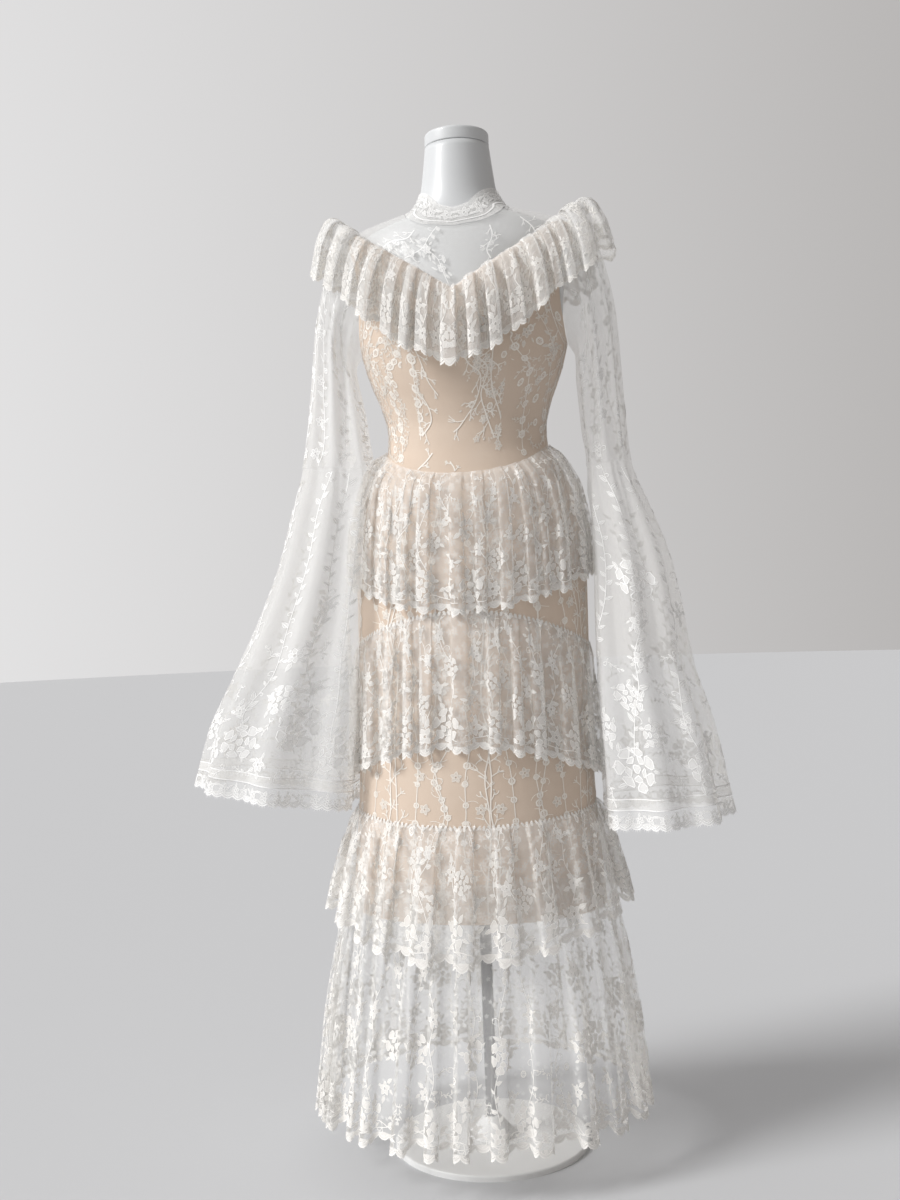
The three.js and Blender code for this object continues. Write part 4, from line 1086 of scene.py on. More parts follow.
class Folds:
    """Tubes side by side all round a strip, each with its own width, height and start."""

    def __init__(self, count, seed, spread=0.45, sharp=2.0, narrow=0.15):
        rng = np.random.default_rng(seed)
        self.widths = rng.uniform(1 - spread, 1 + spread, count)
        self.widths /= self.widths.mean()
        self.tops = np.concatenate([[0], np.cumsum(self.widths) / count])
        self.sizes, self.starts = rng.uniform(0.5, 1.2, count), rng.uniform(-0.3, 0.2, count)
        self.sharp, self.narrow = sharp, narrow

    def place(self, share):
        return np.interp(np.mod(share, 1), self.tops, np.arange(len(self.tops)))

    def wave(self, share, part):
        """The height, from -0.6 to 1, at a share of the way round and down."""
        place = self.place(share)
        sizes = self.sizes * ease(part, self.starts, self.starts + 0.3)
        size = np.interp(place, np.arange(len(self.tops)), np.append(sizes, sizes[0]))
        high, low = (np.tanh(self.sharp * (v - self.narrow)) for v in (1, -1))
        tube = (np.tanh(self.sharp * (np.cos(2 * math.pi * place) - self.narrow)) - low) / (high - low)
        return size * (1.6 * tube - 0.6)

    def phase_and_width(self, share):
        place = self.place(share)
        return 2 * math.pi * place, self.widths[np.minimum(place.astype(int), len(self.widths) - 1)]


def folded_over(phase, roll, width, overhang):
    """How far the cloth moves sideways, so that the tubes are wider than their feet."""
    return roll * (width * np.sin(phase) + overhang * np.sin(2 * phase))


def uneven_turn(share):
    return share + 0.004 * np.sin(2 * math.pi * 7 * share)


def small_gathers(share, count, seed):
    """Fine uneven pleats, as at a gathering thread."""
    rng = np.random.default_rng(seed)
    total = np.zeros_like(share)
    for k in range(4):
        waves = count + int(rng.integers(-count // 3, count // 3))
        total += rng.uniform(0.4, 1) * np.sin(2 * math.pi * (waves * share + rng.random()))
    return total / 2


def drift(share, seed, size):
    """A slow uneven lean, so that folds don't all hang straight."""
    rng = np.random.default_rng(seed)
    total = np.zeros_like(share)
    for waves in (3, 5, 8, 13):
        total += rng.uniform(-1, 1) * np.sin(2 * math.pi * (waves * share + rng.random()))
    return size * total


def level(front, side, back):
    return lambda angle: height_round(angle, front, side, back)


# folds, top, hem, rows, seed, and the profile: part of the way down, stand and depth
TIERS = {
    "tier_1": (28, lambda angle: waist(angle) + 1.5, level(828, 882, 862), 38, 11,
               [(0, 4.0, 1.6), (0.14, 15, 3.5), (0.5, 10, 4.5), (1, 9, 5.5)]),
    "tier_2": (24, level(824, 766, 790), level(628, 576, 596), 38, 22,
               [(0, 3.7, 0), (0.12, 8, 3), (1, 10, 6.5)]),
    "tier_3": (24, level(511, 527, 520), level(326, 388, 372), 34, 33,
               [(0, 3.7, 0), (0.16, 13, 3.5), (0.5, 21, 6), (1, 31, 8)]),
}
PER_FOLD, HEM_DIP = 16, 4.5


def flounce(count, top, hem, rows, seed, profile):
    """Raised tubes with flatter cloth between them."""
    stand, depth_at = curves(profile)
    share, folds = shares(count * PER_FOLD), Folds(count, seed)
    phase, width = folds.phase_and_width(share)
    roll = 360 / (2 * math.pi * count) * width
    overhang = 0.6 + 0.3 * drift(share, seed + 1, 0.5)
    lean, fine = drift(share, seed + 2, 0.9), small_gathers(share, count * 4, seed)
    grid = []
    for part in np.linspace(0, 1, rows):
        wave = folds.wave(share, part)
        depth = max(depth_at(part), 2.6 * ease(part, 0, 0.04))
        rolled = folded_over(phase, roll * ease(depth, 0, 4), -0.15, overhang)
        angle = 360 * uneven_turn(share) + rolled + lean * part
        z = mix(top(angle), hem(angle), part) - part * HEM_DIP * wave
        gathers = 1.2 * fine * (1 - part) ** 2.5 * ease(part, 0, 0.03)
        grid.append(off_block(angle, z, stand(part) + 1.5 * depth * wave + gathers))
    return Cloth(np.stack(grid), ring=True)

# %% [markdown]
# The bottom flounce hangs free of the body and opens out to the hem, with broad uneven
# folds. Its rings are ovals through a short table, and each ring carries the same folds.

# %% The bottom flounce's form
TIER_4_FOLDS, TIER_4_SEAM_Z = 27, 430
TIER_4 = [
    (72, 245, 231, 231, 12), (150, 239, 213, 214, 10), (230, 232, 193, 196, 8),
    (320, 220, 170, 173, 4.5), (385, 206, 160, 161, 2),
    (TIER_4_SEAM_Z, *(reach(TIER_4_SEAM_Z) + 3.2 for reach in (half_width, front_reach, back_reach)), 0),
]
wide_4, front_4, back_4, fold_4 = curves(TIER_4)


def bottom_flounce(rows):
    share, folds = shares(TIER_4_FOLDS * PER_FOLD), Folds(TIER_4_FOLDS, 45, 0.55, 1.3, 0.1)
    phase, width = folds.phase_and_width(share)
    roll = 360 / (2 * math.pi * TIER_4_FOLDS) * width
    overhang = 0.6 + 0.4 * drift(share, 43, 0.5)
    lean, fine = drift(share, 41, 1.6), small_gathers(share, 110, 42)
    grid = []
    for z in np.linspace(TIER_4_SEAM_Z, HEM_Z, rows):
        part = (TIER_4_SEAM_Z - z) / (TIER_4_SEAM_Z - HEM_Z)
        wave, depth = folds.wave(share, part), fold_4(z)
        rolled = folded_over(phase, roll * ease(depth, 0, 6), -0.3, overhang)
        angle = 360 * uneven_turn(share + 0.25) - 90 + rolled + lean * part
        fold = 1.25 * depth * wave + 1.1 * fine * (1 - part) ** 2 * ease(part, 0, 0.05)
        height = z + 12 * np.maximum(0.4 - wave, 0) * part**3
        grid.append(oval(angle, height, wide_4(z) + fold, front_4(z) + fold, back_4(z) + fold))
    return Cloth(np.stack(grid), ring=True)

# %% [markdown]
# The neck ruffle is one strip, gathered onto the yoke seam right round the shoulders. It
# rises to a crest just past the seam, bellies out and then drops to its edge. The table
# gives those sizes at places along the seam, from the V's point to the middle back.

# %% The neck ruffle's form
RUFFLE_FOLDS, UP = 36, np.array([0, 0, 1.0])
RUFFLE_TABLE = [
    (0, 3.4, 0, 8, -8, 22, 104), (0.15, 3.4, 20, 9, -8, 24, 113), (0.3, 3.4, 34, 10, -7, 27, 116),
    (0.42, 3.4, 42, 11, -6, 31, 110), (0.6, 3.4, 50, 13, -4, 37, 97), (0.8, 4, 56, 18, 4, 44, 86),
    (0.92, 6.4, 62, 25, 14, 53, 68), (1, 8.5, 90, 33, 21, 58, 50), (1.08, 6.4, 118, 25, 14, 53, 66),
    (1.2, 4, 124, 17, 4, 44, 84), (1.5, 3.4, 148, 12, -5, 32, 92), (2, 3.4, 180, 8, -8, 22, 96),
]
ruffle_read = curves(RUFFLE_TABLE)


def through_rows(rows, at):
    """Points on the smooth curve through four rows, at places from 0 to 3."""
    ends = [2 * rows[0] - rows[1], *rows, 2 * rows[-1] - rows[-2]]
    low = min(int(at), 2)
    return glide(*ends[low : low + 4], at - low)


def ruffle(rows):
    share = shares(RUFFLE_FOLDS * 19)
    broader = 1 - 0.3 * np.cos(2 * math.pi * share)
    moved = share - 0.3 * np.sin(2 * math.pi * share) / (2 * math.pi)
    folds = Folds(RUFFLE_FOLDS, 71, 0.4, 2.1, -0.2)
    phase, width = folds.phase_and_width(moved)
    wave = folds.wave(moved, 1) / broader**0.5
    overhang = 0.62 + 0.3 * drift(share, 73, 0.5)
    fine, uneven = small_gathers(share, 120, 7), drift(share, 75, 3.0)

    def form(shift):
        turn = np.mod(4 * uneven_turn(share) + shift, 4)
        place = np.where(turn > 2, turn - 4, turn)
        stand, heading, crest_out, crest_up, edge_out, drop = (read(np.abs(place)) for read in ruffle_read)
        seam = off_block(*yoke_seam(np.where(place == 0, 1e-6, place)), stand)
        side = np.radians(heading) * np.where(place < 0, -1, 1)
        outward = np.stack([np.sin(side), -np.cos(side), 0 * side], 1)

        def away(out, rise):
            return seam + outward * out[:, None] + UP * rise[:, None]

        belly = away(mix(crest_out, edge_out, 0.66), mix(crest_up, -drop, 0.42))
        return [seam, away(crest_out, crest_up), belly, away(edge_out, uneven - drop)]

    places, middle = np.linspace(0, 3, rows), form(0 * share)
    normals = Cloth(np.stack([through_rows(middle, at) for at in places]), ring=True).normals
    roll = 4 / (2 * math.pi * RUFFLE_FOLDS) / broader * width
    grid = []
    for at, normal in zip(places, normals):
        depth = np.interp(at, [0, 1, 2, 3], [0, 4, 10, 13])
        rolled = form(folded_over(phase, roll * ease(depth, 0, 4), 0.15, overhang))
        sunk = 6 * UP * (ease(at, 1.2, 3) * wave)[:, None]
        lift = 1.3 * depth * wave + 0.8 * fine * ease(at, 0, 0.3) * (1 - at / 3)
        grid.append(through_rows(rolled, at) - sunk + normal * lift[:, None])
    return Cloth(np.stack(grid), ring=True)

# %% [markdown]
# Each sleeve is set into its armhole, runs narrow to just above the elbow, and then flares
# into a wide bell. A ring of the sleeve leans with the arm: its outer and inner ends have
# their own places. The two sleeves hang differently, so each has its own table.

# %% The sleeves' form
# outer x and z, inner x and z, middle y, half depth, fold
RIGHT_SLEEVE = [
    (196, 1396, 166, 1217, -1, 47, 1), (209, 1362, 172, 1206, -3, 43, 1.5), (220, 1316, 172, 1190, -6, 41, 2),
    (229, 1262, 166, 1168, -10, 40, 2.5), (234, 1198, 158, 1136, -18, 38, 2.5),
    (239, 1128, 150, 1092, -30, 36, 2.5), (248, 1050, 140, 1043, -46, 35, 2), (266, 976, 138, 972, -54, 43, 4),
    (286, 903, 142, 898, -56, 53, 5), (314, 836, 147, 826, -52, 62, 6), (362, 742, 153, 728, -46, 72, 7),
    (410, 650, 160, 636, -38, 82, 8.5), (432, 588, 168, 552, -30, 88, 9),
]
LEFT_SLEEVE = [
    (196, 1396, 166, 1217, 0, 47, 1), (210, 1366, 172, 1206, 0, 43, 1.5), (222, 1322, 173, 1190, 0, 43, 2),
    (231, 1262, 173, 1170, 2, 45, 2.5), (235, 1200, 175, 1140, 4, 47, 2.5), (239, 1124, 178, 1094, 6, 49, 2.5),
    (247, 1042, 184, 1036, 8, 50, 2), (273, 969, 182, 965, 6, 58, 4), (296, 902, 180, 896, 2, 68, 5),
    (310, 832, 180, 826, -4, 78, 6), (324, 738, 182, 732, -8, 92, 7), (350, 645, 184, 638, -10, 106, 8.5),
    (372, 534, 186, 524, -10, 116, 9),
]
keeps_off = curve_through([480, 530, 940, 1045, 1078, 1110, 1600], [26, 19, 19, 25, 9, 7, 7])
SLEEVE_FOLDS, ELBOW, ELBOW_GAP = 8, 6, 0.004


def kept_off(points):
    """Moves a sleeve's points out of the space that the body and its tiers take up."""
    x, y, z = points[..., 0] - swing(points[..., 2]), points[..., 1], points[..., 2]
    reach = keeps_off(z)
    wide = half_width(z) + reach
    deep = np.where(y < 0, front_reach(z), back_reach(z)) + reach
    share = np.hypot(x / wide, y / deep)
    push = np.where(share < 1, 1 / np.maximum(share, 0.05), 1)
    return np.stack([x * push + swing(z), y * push, z], -1)


def armhole_ring(side, columns):
    turn = 360 * np.arange(columns) / columns
    angle, z = armhole(np.where(turn < 180, turn, 360 - turn), (turn < 180) == (side > 0))
    lift = 2 * np.maximum(np.cos(np.radians(turn)), 0) ** 4
    return off_block(side * angle, z, PANEL_STAND + 1 + lift)


def sleeve_cloth(side, table, first, last, rows, seed):
    """The sleeve from one row of its table to another. Row -1 is the armhole."""
    share = shares(SLEEVE_FOLDS * 12)
    turn = 2 * math.pi * share
    wave = fold_wave(share, SLEEVE_FOLDS, 3)
    fine = small_gathers(share, 26, seed)
    read = curves([(k, *row) for k, row in enumerate(table)])
    grid = []
    for at in np.linspace(first, last, rows):
        outer_x, outer_z, inner_x, inner_z, mid_y, half_depth, fold = (r(max(at, 0)) for r in read)
        gathered = 1.3 * fine * (ease(at, ELBOW - 0.35, ELBOW - 0.05) - ease(at, ELBOW + 0.1, ELBOW + 1.2))
        height = fold * wave * mix(1.7, 1.15, ease(at, ELBOW - 1, ELBOW + 1)) + gathered
        t = turn + 0.5 / SLEEVE_FOLDS * ease(fold, 1.5, 5) * np.sin(turn * SLEEVE_FOLDS)
        lean = (1 - np.cos(t)) / 2
        x = mix(outer_x + height, inner_x - height, lean)
        y = mid_y + side * (half_depth + height) * np.sin(t)
        ring = kept_off(np.stack([side * x, y, mix(outer_z, inner_z, lean)], 1))
        if at < 0:
            ring = mix(armhole_ring(side, len(share)), ring, ease(at, -1, 0))
        grid.append(ring)
    return Cloth(np.stack(grid), ring=True)


def carried_on(cloth, depth, rows):
    """A strip that goes on straight from the hem of a cloth."""
    step = unit(cloth.grid[-1] - cloth.grid[-3])
    strip = [cloth.grid[-1] + step * (0.3 + depth * k / (rows - 1)) for k in range(rows)]
    return Cloth(np.stack(strip), ring=True)

# %% [markdown]
# The bodice is a smooth skin-toned lining with lace over it, sewn together as one layer.
# Its panels are made first. Each keeps its cloth, so that the lace can be laid on it next.

# %% Bodice and yoke panels
PANEL_GRIDS = {
    "bodice_centre_front": (40, 52), "bodice_side_front_left": (26, 52), "bodice_side_front_right": (26, 52),
    "bodice_back_left": (36, 52), "bodice_back_right": (36, 52),
    "yoke_front": (72, 26), "yoke_back_left": (36, 22), "yoke_back_right": (36, 22),
}
panels = {name: patch(PANELS[name], *size) for name, size in PANEL_GRIDS.items()}
panel_pieces = {}
for name, cloth in panels.items():
    lined = name.startswith("bodice")
    piece = sheet_piece(name + "_cloth", cloth, LINED if lined else SHEER_NET, wall=1.0 if lined else None)
    panel_pieces[name] = piece

# %% [markdown]
# The collar is a straight strip of firmer net that stands against the neck, closed at the
# middle back. It leans in towards its top, as the neck narrows.


# %% Collar
def collar_cloth(rows=9, columns=120):
    angle = np.linspace(-179.85, 179.85, columns + 1)
    places = np.linspace(1, 0, rows)
    grid = [off_block(angle, collar_line(angle) + 0.7 + 32 * up, 1.5 - 2.2 * up) for up in places]
    return Cloth(np.stack(grid))


collar = collar_cloth()
collar_piece = sheet_piece("collar_cloth", collar, RUFFLE_NET)

# %% [markdown]
# The skirt's lining is one tube from the waist seam to a little above shin height. The lace
# shows on it between the flounces.


# %% Skirt
def skirt_cloth(rows=72, columns=144):
    angle = np.arange(columns) * 360 / columns
    angle = np.where(angle > 180, angle - 360, angle)
    heights = [mix(waist(angle), LINING_END_Z, down) for down in np.linspace(0, 1, rows)]
    return Cloth(np.stack([off_block(angle, z, PANEL_STAND) for z in heights]), ring=True)


skirt = skirt_cloth()
skirt_piece = sheet_piece("skirt_lined_tube", skirt, LINED, wall=1.0)

# %% [markdown]
# The three flounces over the skirt, the free bottom flounce, the neck ruffle and the
# sleeves are single layers of lace, so each is one sheet of net.

# %% Flounces, ruffle and sleeves
sleeves = {}
for word, side, table in (("left", 1, LEFT_SLEEVE), ("right", -1, RIGHT_SLEEVE)):
    sleeves["upper_" + word] = sleeve_cloth(side, table, -1, ELBOW - ELBOW_GAP, 64, 3)
    sleeves["bell_" + word] = sleeve_cloth(side, table, ELBOW + ELBOW_GAP, len(table) - 1, 84, 4)
    sleeves["trim_" + word] = carried_on(sleeves["bell_" + word], 22, 6)

cloths = {name: flounce(*sizes) for name, sizes in TIERS.items()}
cloths |= {"tier_4": bottom_flounce(54), "neck_ruffle": ruffle(32), **sleeves}
nets = {"tier_4": BOTTOM_NET, "neck_ruffle": RUFFLE_NET, **dict.fromkeys(sleeves, SLEEVE_NET)}
cloth_pieces = {}
for name, cloth in cloths.items():
    start = "sleeve_" if name in sleeves else ""
    cloth_pieces[name] = sheet_piece(f"{start}{name}_net", cloth, nets.get(name, TIER_NET))
quads = sum(len(piece.data.polygons) for piece in cloth_pieces.values())
print(quads * 2, "triangles in the flounces and sleeves")

# %% [markdown]
# The flounces' lace repeats every ten centimetres or so: a full rose near the scalloped
# edge, smaller flowers beside and above it, and leafy vines that climb to the seam. Two
# repeats that differ, each also used turned over, keep the rhythm from showing.

# %% Lace of the three flounces
FULL_ROSE = (
    [
        (ROSE, -24, 31, 10, 0.95, 6), (BLOSSOM_6, 24, 22, 0, 1.05, 4), (ROSE, 34, 66, 30, 0.6, 5),
        (BLOSSOM_5, -6, 84, 20, 0.9, 4), (ROSE, -34, 116, 40, 0.6, 4), (BLOSSOM_6, 16, 128, 10, 0.85, 4),
        (BLOSSOM_5, -12, 160, 0, 0.8, 3), (BLOSSOM_5, 36, 170, 15, 0.7, 3),
    ],
    [
        [(-24, 50), (-42, 78), (-36, 112), (-18, 140), (-10, 172), (-22, 204)],
        [(26, 34), (14, 60), (-2, 90), (18, 118), (24, 146), (40, 172), (34, 204)],
        [(-46, 12), (-24, 16), (0, 10), (26, 14), (48, 12)],
    ],
)
TWO_BLOSSOMS = (
    [
        (ROSE, 20, 36, 60, 0.8, 6), (BLOSSOM_5, -28, 26, 0, 1.1, 5), (BLOSSOM_6, -36, 66, 20, 0.8, 4),
        (ROSE, 4, 96, 10, 0.55, 4), (BLOSSOM_5, 38, 104, 5, 0.85, 4), (BLOSSOM_6, -28, 136, 30, 0.85, 4),
        (BLOSSOM_5, 20, 152, 12, 0.8, 3), (BLOSSOM_5, -6, 184, 12, 0.7, 2),
    ],
    [
        [(20, 56), (34, 80), (36, 106), (24, 138), (16, 166), (26, 204)],
        [(-28, 40), (-40, 66), (-26, 96), (-30, 134), (-12, 166), (-8, 204)],
        [(-48, 12), (-22, 11), (6, 17), (30, 13), (48, 12)],
    ],
)


def flounce_lace(name, plans, pitch, height, gap, seed, scallop=(17, 5.5), frayed_top=False):
    """Lace all round a flounce, with its scalloped edge and, if wanted, a frayed top."""
    cloth = cloths[name].gather()
    repeats = [lace_repeat(pitch, height, *plan, seed + k, gap) for k, plan in enumerate(plans)]
    jobs = tiled(cloth, repeats, pitch, cloth.width[-1]) + edging(cloth, *scallop, seed)
    if frayed_top:
        jobs += edging(cloth, 7, 1.6, seed + 5, top=True, lash_length=4)
    lay_lace(name + "_lace", cloth, jobs, IVORY_LACE)


flounce_lace("tier_1", [FULL_ROSE, TWO_BLOSSOMS], 103, 200, 23, 1)
flounce_lace("tier_2", [TWO_BLOSSOMS, FULL_ROSE], 105, 190, 23, 2, frayed_top=True)
flounce_lace("tier_3", [FULL_ROSE, TWO_BLOSSOMS], 108, 156, 23, 3, (19, 6), frayed_top=True)

# %% [markdown]
# The bottom flounce is the sheerest. Its lace is dense only in a band along the edge, and
# above that single roses and thin vines are set far apart.

# %% Lace of the bottom flounce
SCATTERED_ROSE = (
    [
        (ROSE, -20, 34, 10, 0.8, 6), (BLOSSOM_6, 34, 26, 0, 1.0, 5), (BLOSSOM_5, 8, 66, 20, 0.9, 4),
        (ROSE, 30, 128, 30, 0.9, 6), (BLOSSOM_5, -28, 176, 0, 0.9, 4), (BLOSSOM_6, 22, 236, 8, 0.9, 3),
        (BLOSSOM_5, -20, 290, 4, 0.8, 3),
    ],
    [
        [(-20, 54), (-34, 96), (-24, 140), (-30, 180), (-12, 228), (-18, 292), (-4, 360)],
        [(34, 40), (44, 84), (32, 128), (40, 176), (24, 238), (38, 300), (30, 356)],
        [(-58, 12), (-30, 16), (0, 10), (28, 15), (58, 12)],
        [(-58, 22), (-34, 12), (-4, 20), (30, 10), (58, 22)],
    ],
)
flounce_lace("tier_4", [SCATTERED_ROSE], 118, 120, 20, 4, (20, 6))

# %% [markdown]
# The ruffle's lace is smaller: blossoms in a row above its scallops, and leaves between.

# %% Lace of the neck ruffle
SMALL_BLOSSOMS = (
    [
        (ROSE, -18, 28, 10, 0.62, 5), (BLOSSOM_6, 18, 22, 0, 0.85, 4), (BLOSSOM_5, 6, 54, 20, 0.8, 4),
        (BLOSSOM_6, -20, 76, 0, 0.7, 3), (BLOSSOM_5, 22, 88, 12, 0.7, 3),
    ],
    [[(-18, 40), (-28, 62), (-18, 84), (-24, 112)], [(18, 32), (26, 58), (18, 86), (26, 112)]],
)
flounce_lace("neck_ruffle", [SMALL_BLOSSOMS], 72, 108, 20, 5, (17, 5))

# %% [markdown]
# On the bodice the lace is placed one piece at a time, as a dressmaker does, so that the middle front stays
# bare. A chain of rosettes follows the princess seam on one side, a branching vine fills the other, and the
# side panels are covered. Distances are from the panel's middle and, below zero, down from its top. The thread
# there is a warmer, duller cream.


# %% Lace of the bodice
def rosette_chain(shapes, points, rng, every, size=1.0):
    """Small worked rings on a stem, with pairs of thin tendrils."""
    path = smooth_path(points)
    shapes.cord(path, 1.5, 0.5)
    along = lengths_along(path)
    for at in np.arange(every * 0.5, along[-1], every):
        x, y = path[min(int(np.searchsorted(along, at)), len(path) - 1)]
        shapes.stamp(RING, x, y, rng.uniform(0, 90), size * rng.uniform(0.8, 1.15))
        for side in (-1, 1):
            turn = 90 + side * rng.uniform(50, 110)
            if rng.random() < 0.6:
                tendril(shapes, x, y + 4, turn, rng.uniform(10, 20), side * rng.uniform(-140, 160))
            elif rng.random() < 0.6:
                shapes.stamp(NARROW_LEAF, x + side * 4, y, turn, rng.uniform(0.6, 0.9))


def branching_vine(shapes, points, rng, twigs, reach):
    """A thin stem whose twigs fork and end in small buds, like coral."""
    path = smooth_path(points)
    shapes.cord(path, 2.0, 0.7)
    for k in range(twigs):
        i = int((k + 0.6) / twigs * (len(path) - 1))
        side = 1 if k % 2 else -1
        turn = way_on(path, i) + side * rng.uniform(30, 60)
        length = reach * rng.uniform(0.7, 1.2)
        tendril(shapes, *path[i], turn, length, side * rng.uniform(-50, 30), 1.5)
        end = path[i] + 0.55 * length * direction(turn)
        for fork in (-35, 30):
            tendril(shapes, *end, turn + fork, length * 0.5, rng.uniform(-60, 60), 1.3)
        shapes.stamp(BUD, *end, turn + rng.uniform(-40, 40), rng.uniform(0.5, 0.8))


def sprays(shapes, flowers, rng, turn, reach, leaves, leaf_size=0.8):
    """Flowers from a table of motif, x, y and size, each with leaves behind it."""
    for motif, x, y, size in flowers:
        shapes.stamp(motif, x, y, turn, size)
        spray(shapes, x, y, reach, rng, leaves, leaf_size)


def drawn(rng, *rows):
    """Lace drawn from listed rows. Each row says how it is drawn, through which points, and its sizes."""
    shapes = Shapes()
    for draw, points, *sizes in rows:
        draw(shapes, points, rng, *sizes)
    return shapes


def centre_front_lace(rng):
    shapes = drawn(
        rng,
        (rosette_chain,
         [(-96, -52), (-84, -92), (-75, -130), (-70, -170), (-66, -215), (-63, -262)], 21, 1.15),
        (branching_vine, [(-78, -110), (-58, -140), (-46, -168), (-30, -186)], 5, 18),
        (branching_vine, [(-72, -190), (-50, -206), (-44, -230), (-60, -256)], 4, 16),
        (branching_vine, [(88, -40), (76, -96), (62, -140), (56, -186), (66, -236), (72, -286)], 12, 24),
        (branching_vine, [(8, -96), (22, -134), (40, -162), (30, -196), (12, -216), (-8, -238)], 10, 22),
        (branching_vine, [(48, -84), (36, -124), (52, -158), (38, -190), (44, -226), (54, -262)], 10, 20),
        (branching_vine, [(-66, -304), (-52, -290), (-42, -276)], 2, 12),
        (branching_vine, [(-6, -306), (-8, -296), (-14, -286)], 2, 10),
        (sprays,
         [(BLOSSOM_5, 62, -118, 0.9), (BLOSSOM_6, 34, -148, 0.8), (BLOSSOM_5, 74, -196, 0.85)], 20, 8, 4, 0.7),
    )
    for x, y in ((50, -214), (22, -200), (66, -250), (-52, -160), (80, -150)):
        shapes.stamp(RING, x, y, 10, 0.8)
    columns = ((66, -290, -50, 12, 34), (36, -260, -90, 16, 34), (-74, -270, -60, 9, 24))
    for x, low, high, spread, count in columns:
        for y in np.linspace(low, high, count):
            motif = (*TWIGS, NARROW_LEAF, BUD, BLOSSOM_5)[int(rng.integers(6))]
            shapes.stamp(motif, x + rng.normal(0, spread), y, rng.uniform(0, 360), rng.uniform(0.6, 0.85))
    return shapes.joined()


def side_front_lace(rng, gap):
    shapes = drawn(
        rng,
        (rosette_chain, [(-44, -70), (-50, -140), (-44, -210), (-38, -290), (-46, -352)], 24),
        (vine, [(10, -356), (16, -300), (4, -240), (14, -180), (0, -120), (14, -60), (6, -14)], 14),
        (branching_vine, [(42, -80), (34, -150), (40, -220), (30, -290), (38, -350)], 12, 20),
        (sprays,
         [(ROSE, -16, -104, 0.62), (BLOSSOM_6, 26, -128, 0.85), (ROSE, 10, -212, 0.55),
          (BLOSSOM_5, -22, -168, 0.9), (BLOSSOM_6, -20, -250, 0.8), (BLOSSOM_5, 20, -316, 0.8)], 35, 12, 5),
    )
    scatter(shapes, [], 124, -356, -4, gap, rng, (*TWIGS, RING), (0.8, 1.15))
    return shapes.joined()


BACK_LACE = [
    (rosette_chain, [(-70, -8), (-62, -90), (-54, -170), (-46, -250), (-50, -334)], 23),
    (vine, [(20, -336), (30, -270), (12, -200), (30, -130), (16, -70), (40, -10)], 14),
    (branching_vine, [(70, -20), (60, -100), (66, -180), (54, -250), (60, -330)], 12, 22),
    (sprays, [(ROSE, -20, -60, 0.7), (BLOSSOM_5, 50, -80, 0.9), (ROSE, -10, -170, 0.6),
              (BLOSSOM_6, 44, -210, 0.9), (BLOSSOM_5, -16, -270, 0.8)], 15, 12, 5),
]


def sew_on(name, motif, flip=False, materials=WARM):
    """Sews one piece of lace on a panel, a sleeve or the collar."""
    cloth = panels.get(name) or cloths.get(name) or collar
    lay_lace(name + "_lace", cloth, [(motif, 0, 0, flip, False)], materials)


rng = np.random.default_rng(30)
sew_on("bodice_centre_front", centre_front_lace(rng))
for side, flip, gap in (("right", True, 12), ("left", False, 20)):
    sew_on("bodice_side_front_" + side, side_front_lace(rng, gap), flip)
    sew_on("bodice_back_" + side, drawn(rng, *BACK_LACE).joined(), flip)

# %% [markdown]
# The yoke is plain net with a vine that runs down from the collar on the wearer's right,
# and a small sprig on the other side. Its back has two thin vines.


# %% Lace of the yoke and collar
YOKE_FRONT_LACE = [
    (vine, [(-22, 0), (-34, -26), (-46, -52), (-66, -72), (-88, -92)], 11, 0.95),
    (vine, [(-46, -52), (-24, -64), (-14, -84), (-4, -98)], 11),
    (branching_vine, [(-60, -20), (-74, -44), (-104, -60), (-130, -88)], 7, 20),
    (branching_vine, [(58, -20), (64, -48), (58, -70), (70, -94)], 5, 16),
    (branching_vine, [(110, -30), (132, -60), (150, -92)], 5, 18),
    (sprays, [(BLOSSOM_6, -42, -54, 1.0), (ROSE, -76, -70, 0.55), (BLOSSOM_5, -16, -78, 0.8),
              (BLOSSOM_5, 64, -62, 0.7), (BLOSSOM_5, -112, -74, 0.8)], 25, 10, 5),
]
YOKE_BACK_LACE = [
    (vine, [(-70, -10), (-40, -40), (-10, -58), (30, -84)], 12),
    (branching_vine, [(50, -8), (66, -40), (60, -80)], 6, 18),
]


def yoke_back_lace(rng):
    shapes = drawn(rng, *YOKE_BACK_LACE)
    shapes.stamp(BLOSSOM_6, -14, -54, 10, 0.9)
    return shapes.joined()


def collar_lace(rng, width):
    shapes = Shapes()
    for y in (-1.5, -30):
        shapes.cord(smooth_path([(x, y) for x in np.linspace(-width / 2 + 1, width / 2 - 1, 40)]), 2.0, 0.7)
    for x in np.arange(-width / 2 + 18, width / 2 - 12, 26):
        shapes.stamp(BLOSSOM_5, x, -16 + rng.uniform(-2, 2), rng.uniform(0, 70), 1.0)
        for turn in (20, 160, 200, 340):
            foot = (x, -16) + 9 * direction(turn)
            shapes.stamp(NARROW_LEAF, *foot, turn + rng.uniform(-12, 12), 0.9)
    return shapes.joined()


sew_on("yoke_front", drawn(rng, *YOKE_FRONT_LACE).joined(), materials=WHITE)
sew_on("yoke_back_left", yoke_back_lace(rng), materials=WHITE)
sew_on("yoke_back_right", yoke_back_lace(rng), True, WHITE)
sew_on("collar", collar_lace(rng, collar.width.min()), materials=WHITE)

# %% [markdown]
# The lined skirt has narrow upright strips of the same lace, side by side all round:
# chains of rosettes with forked twigs between them.


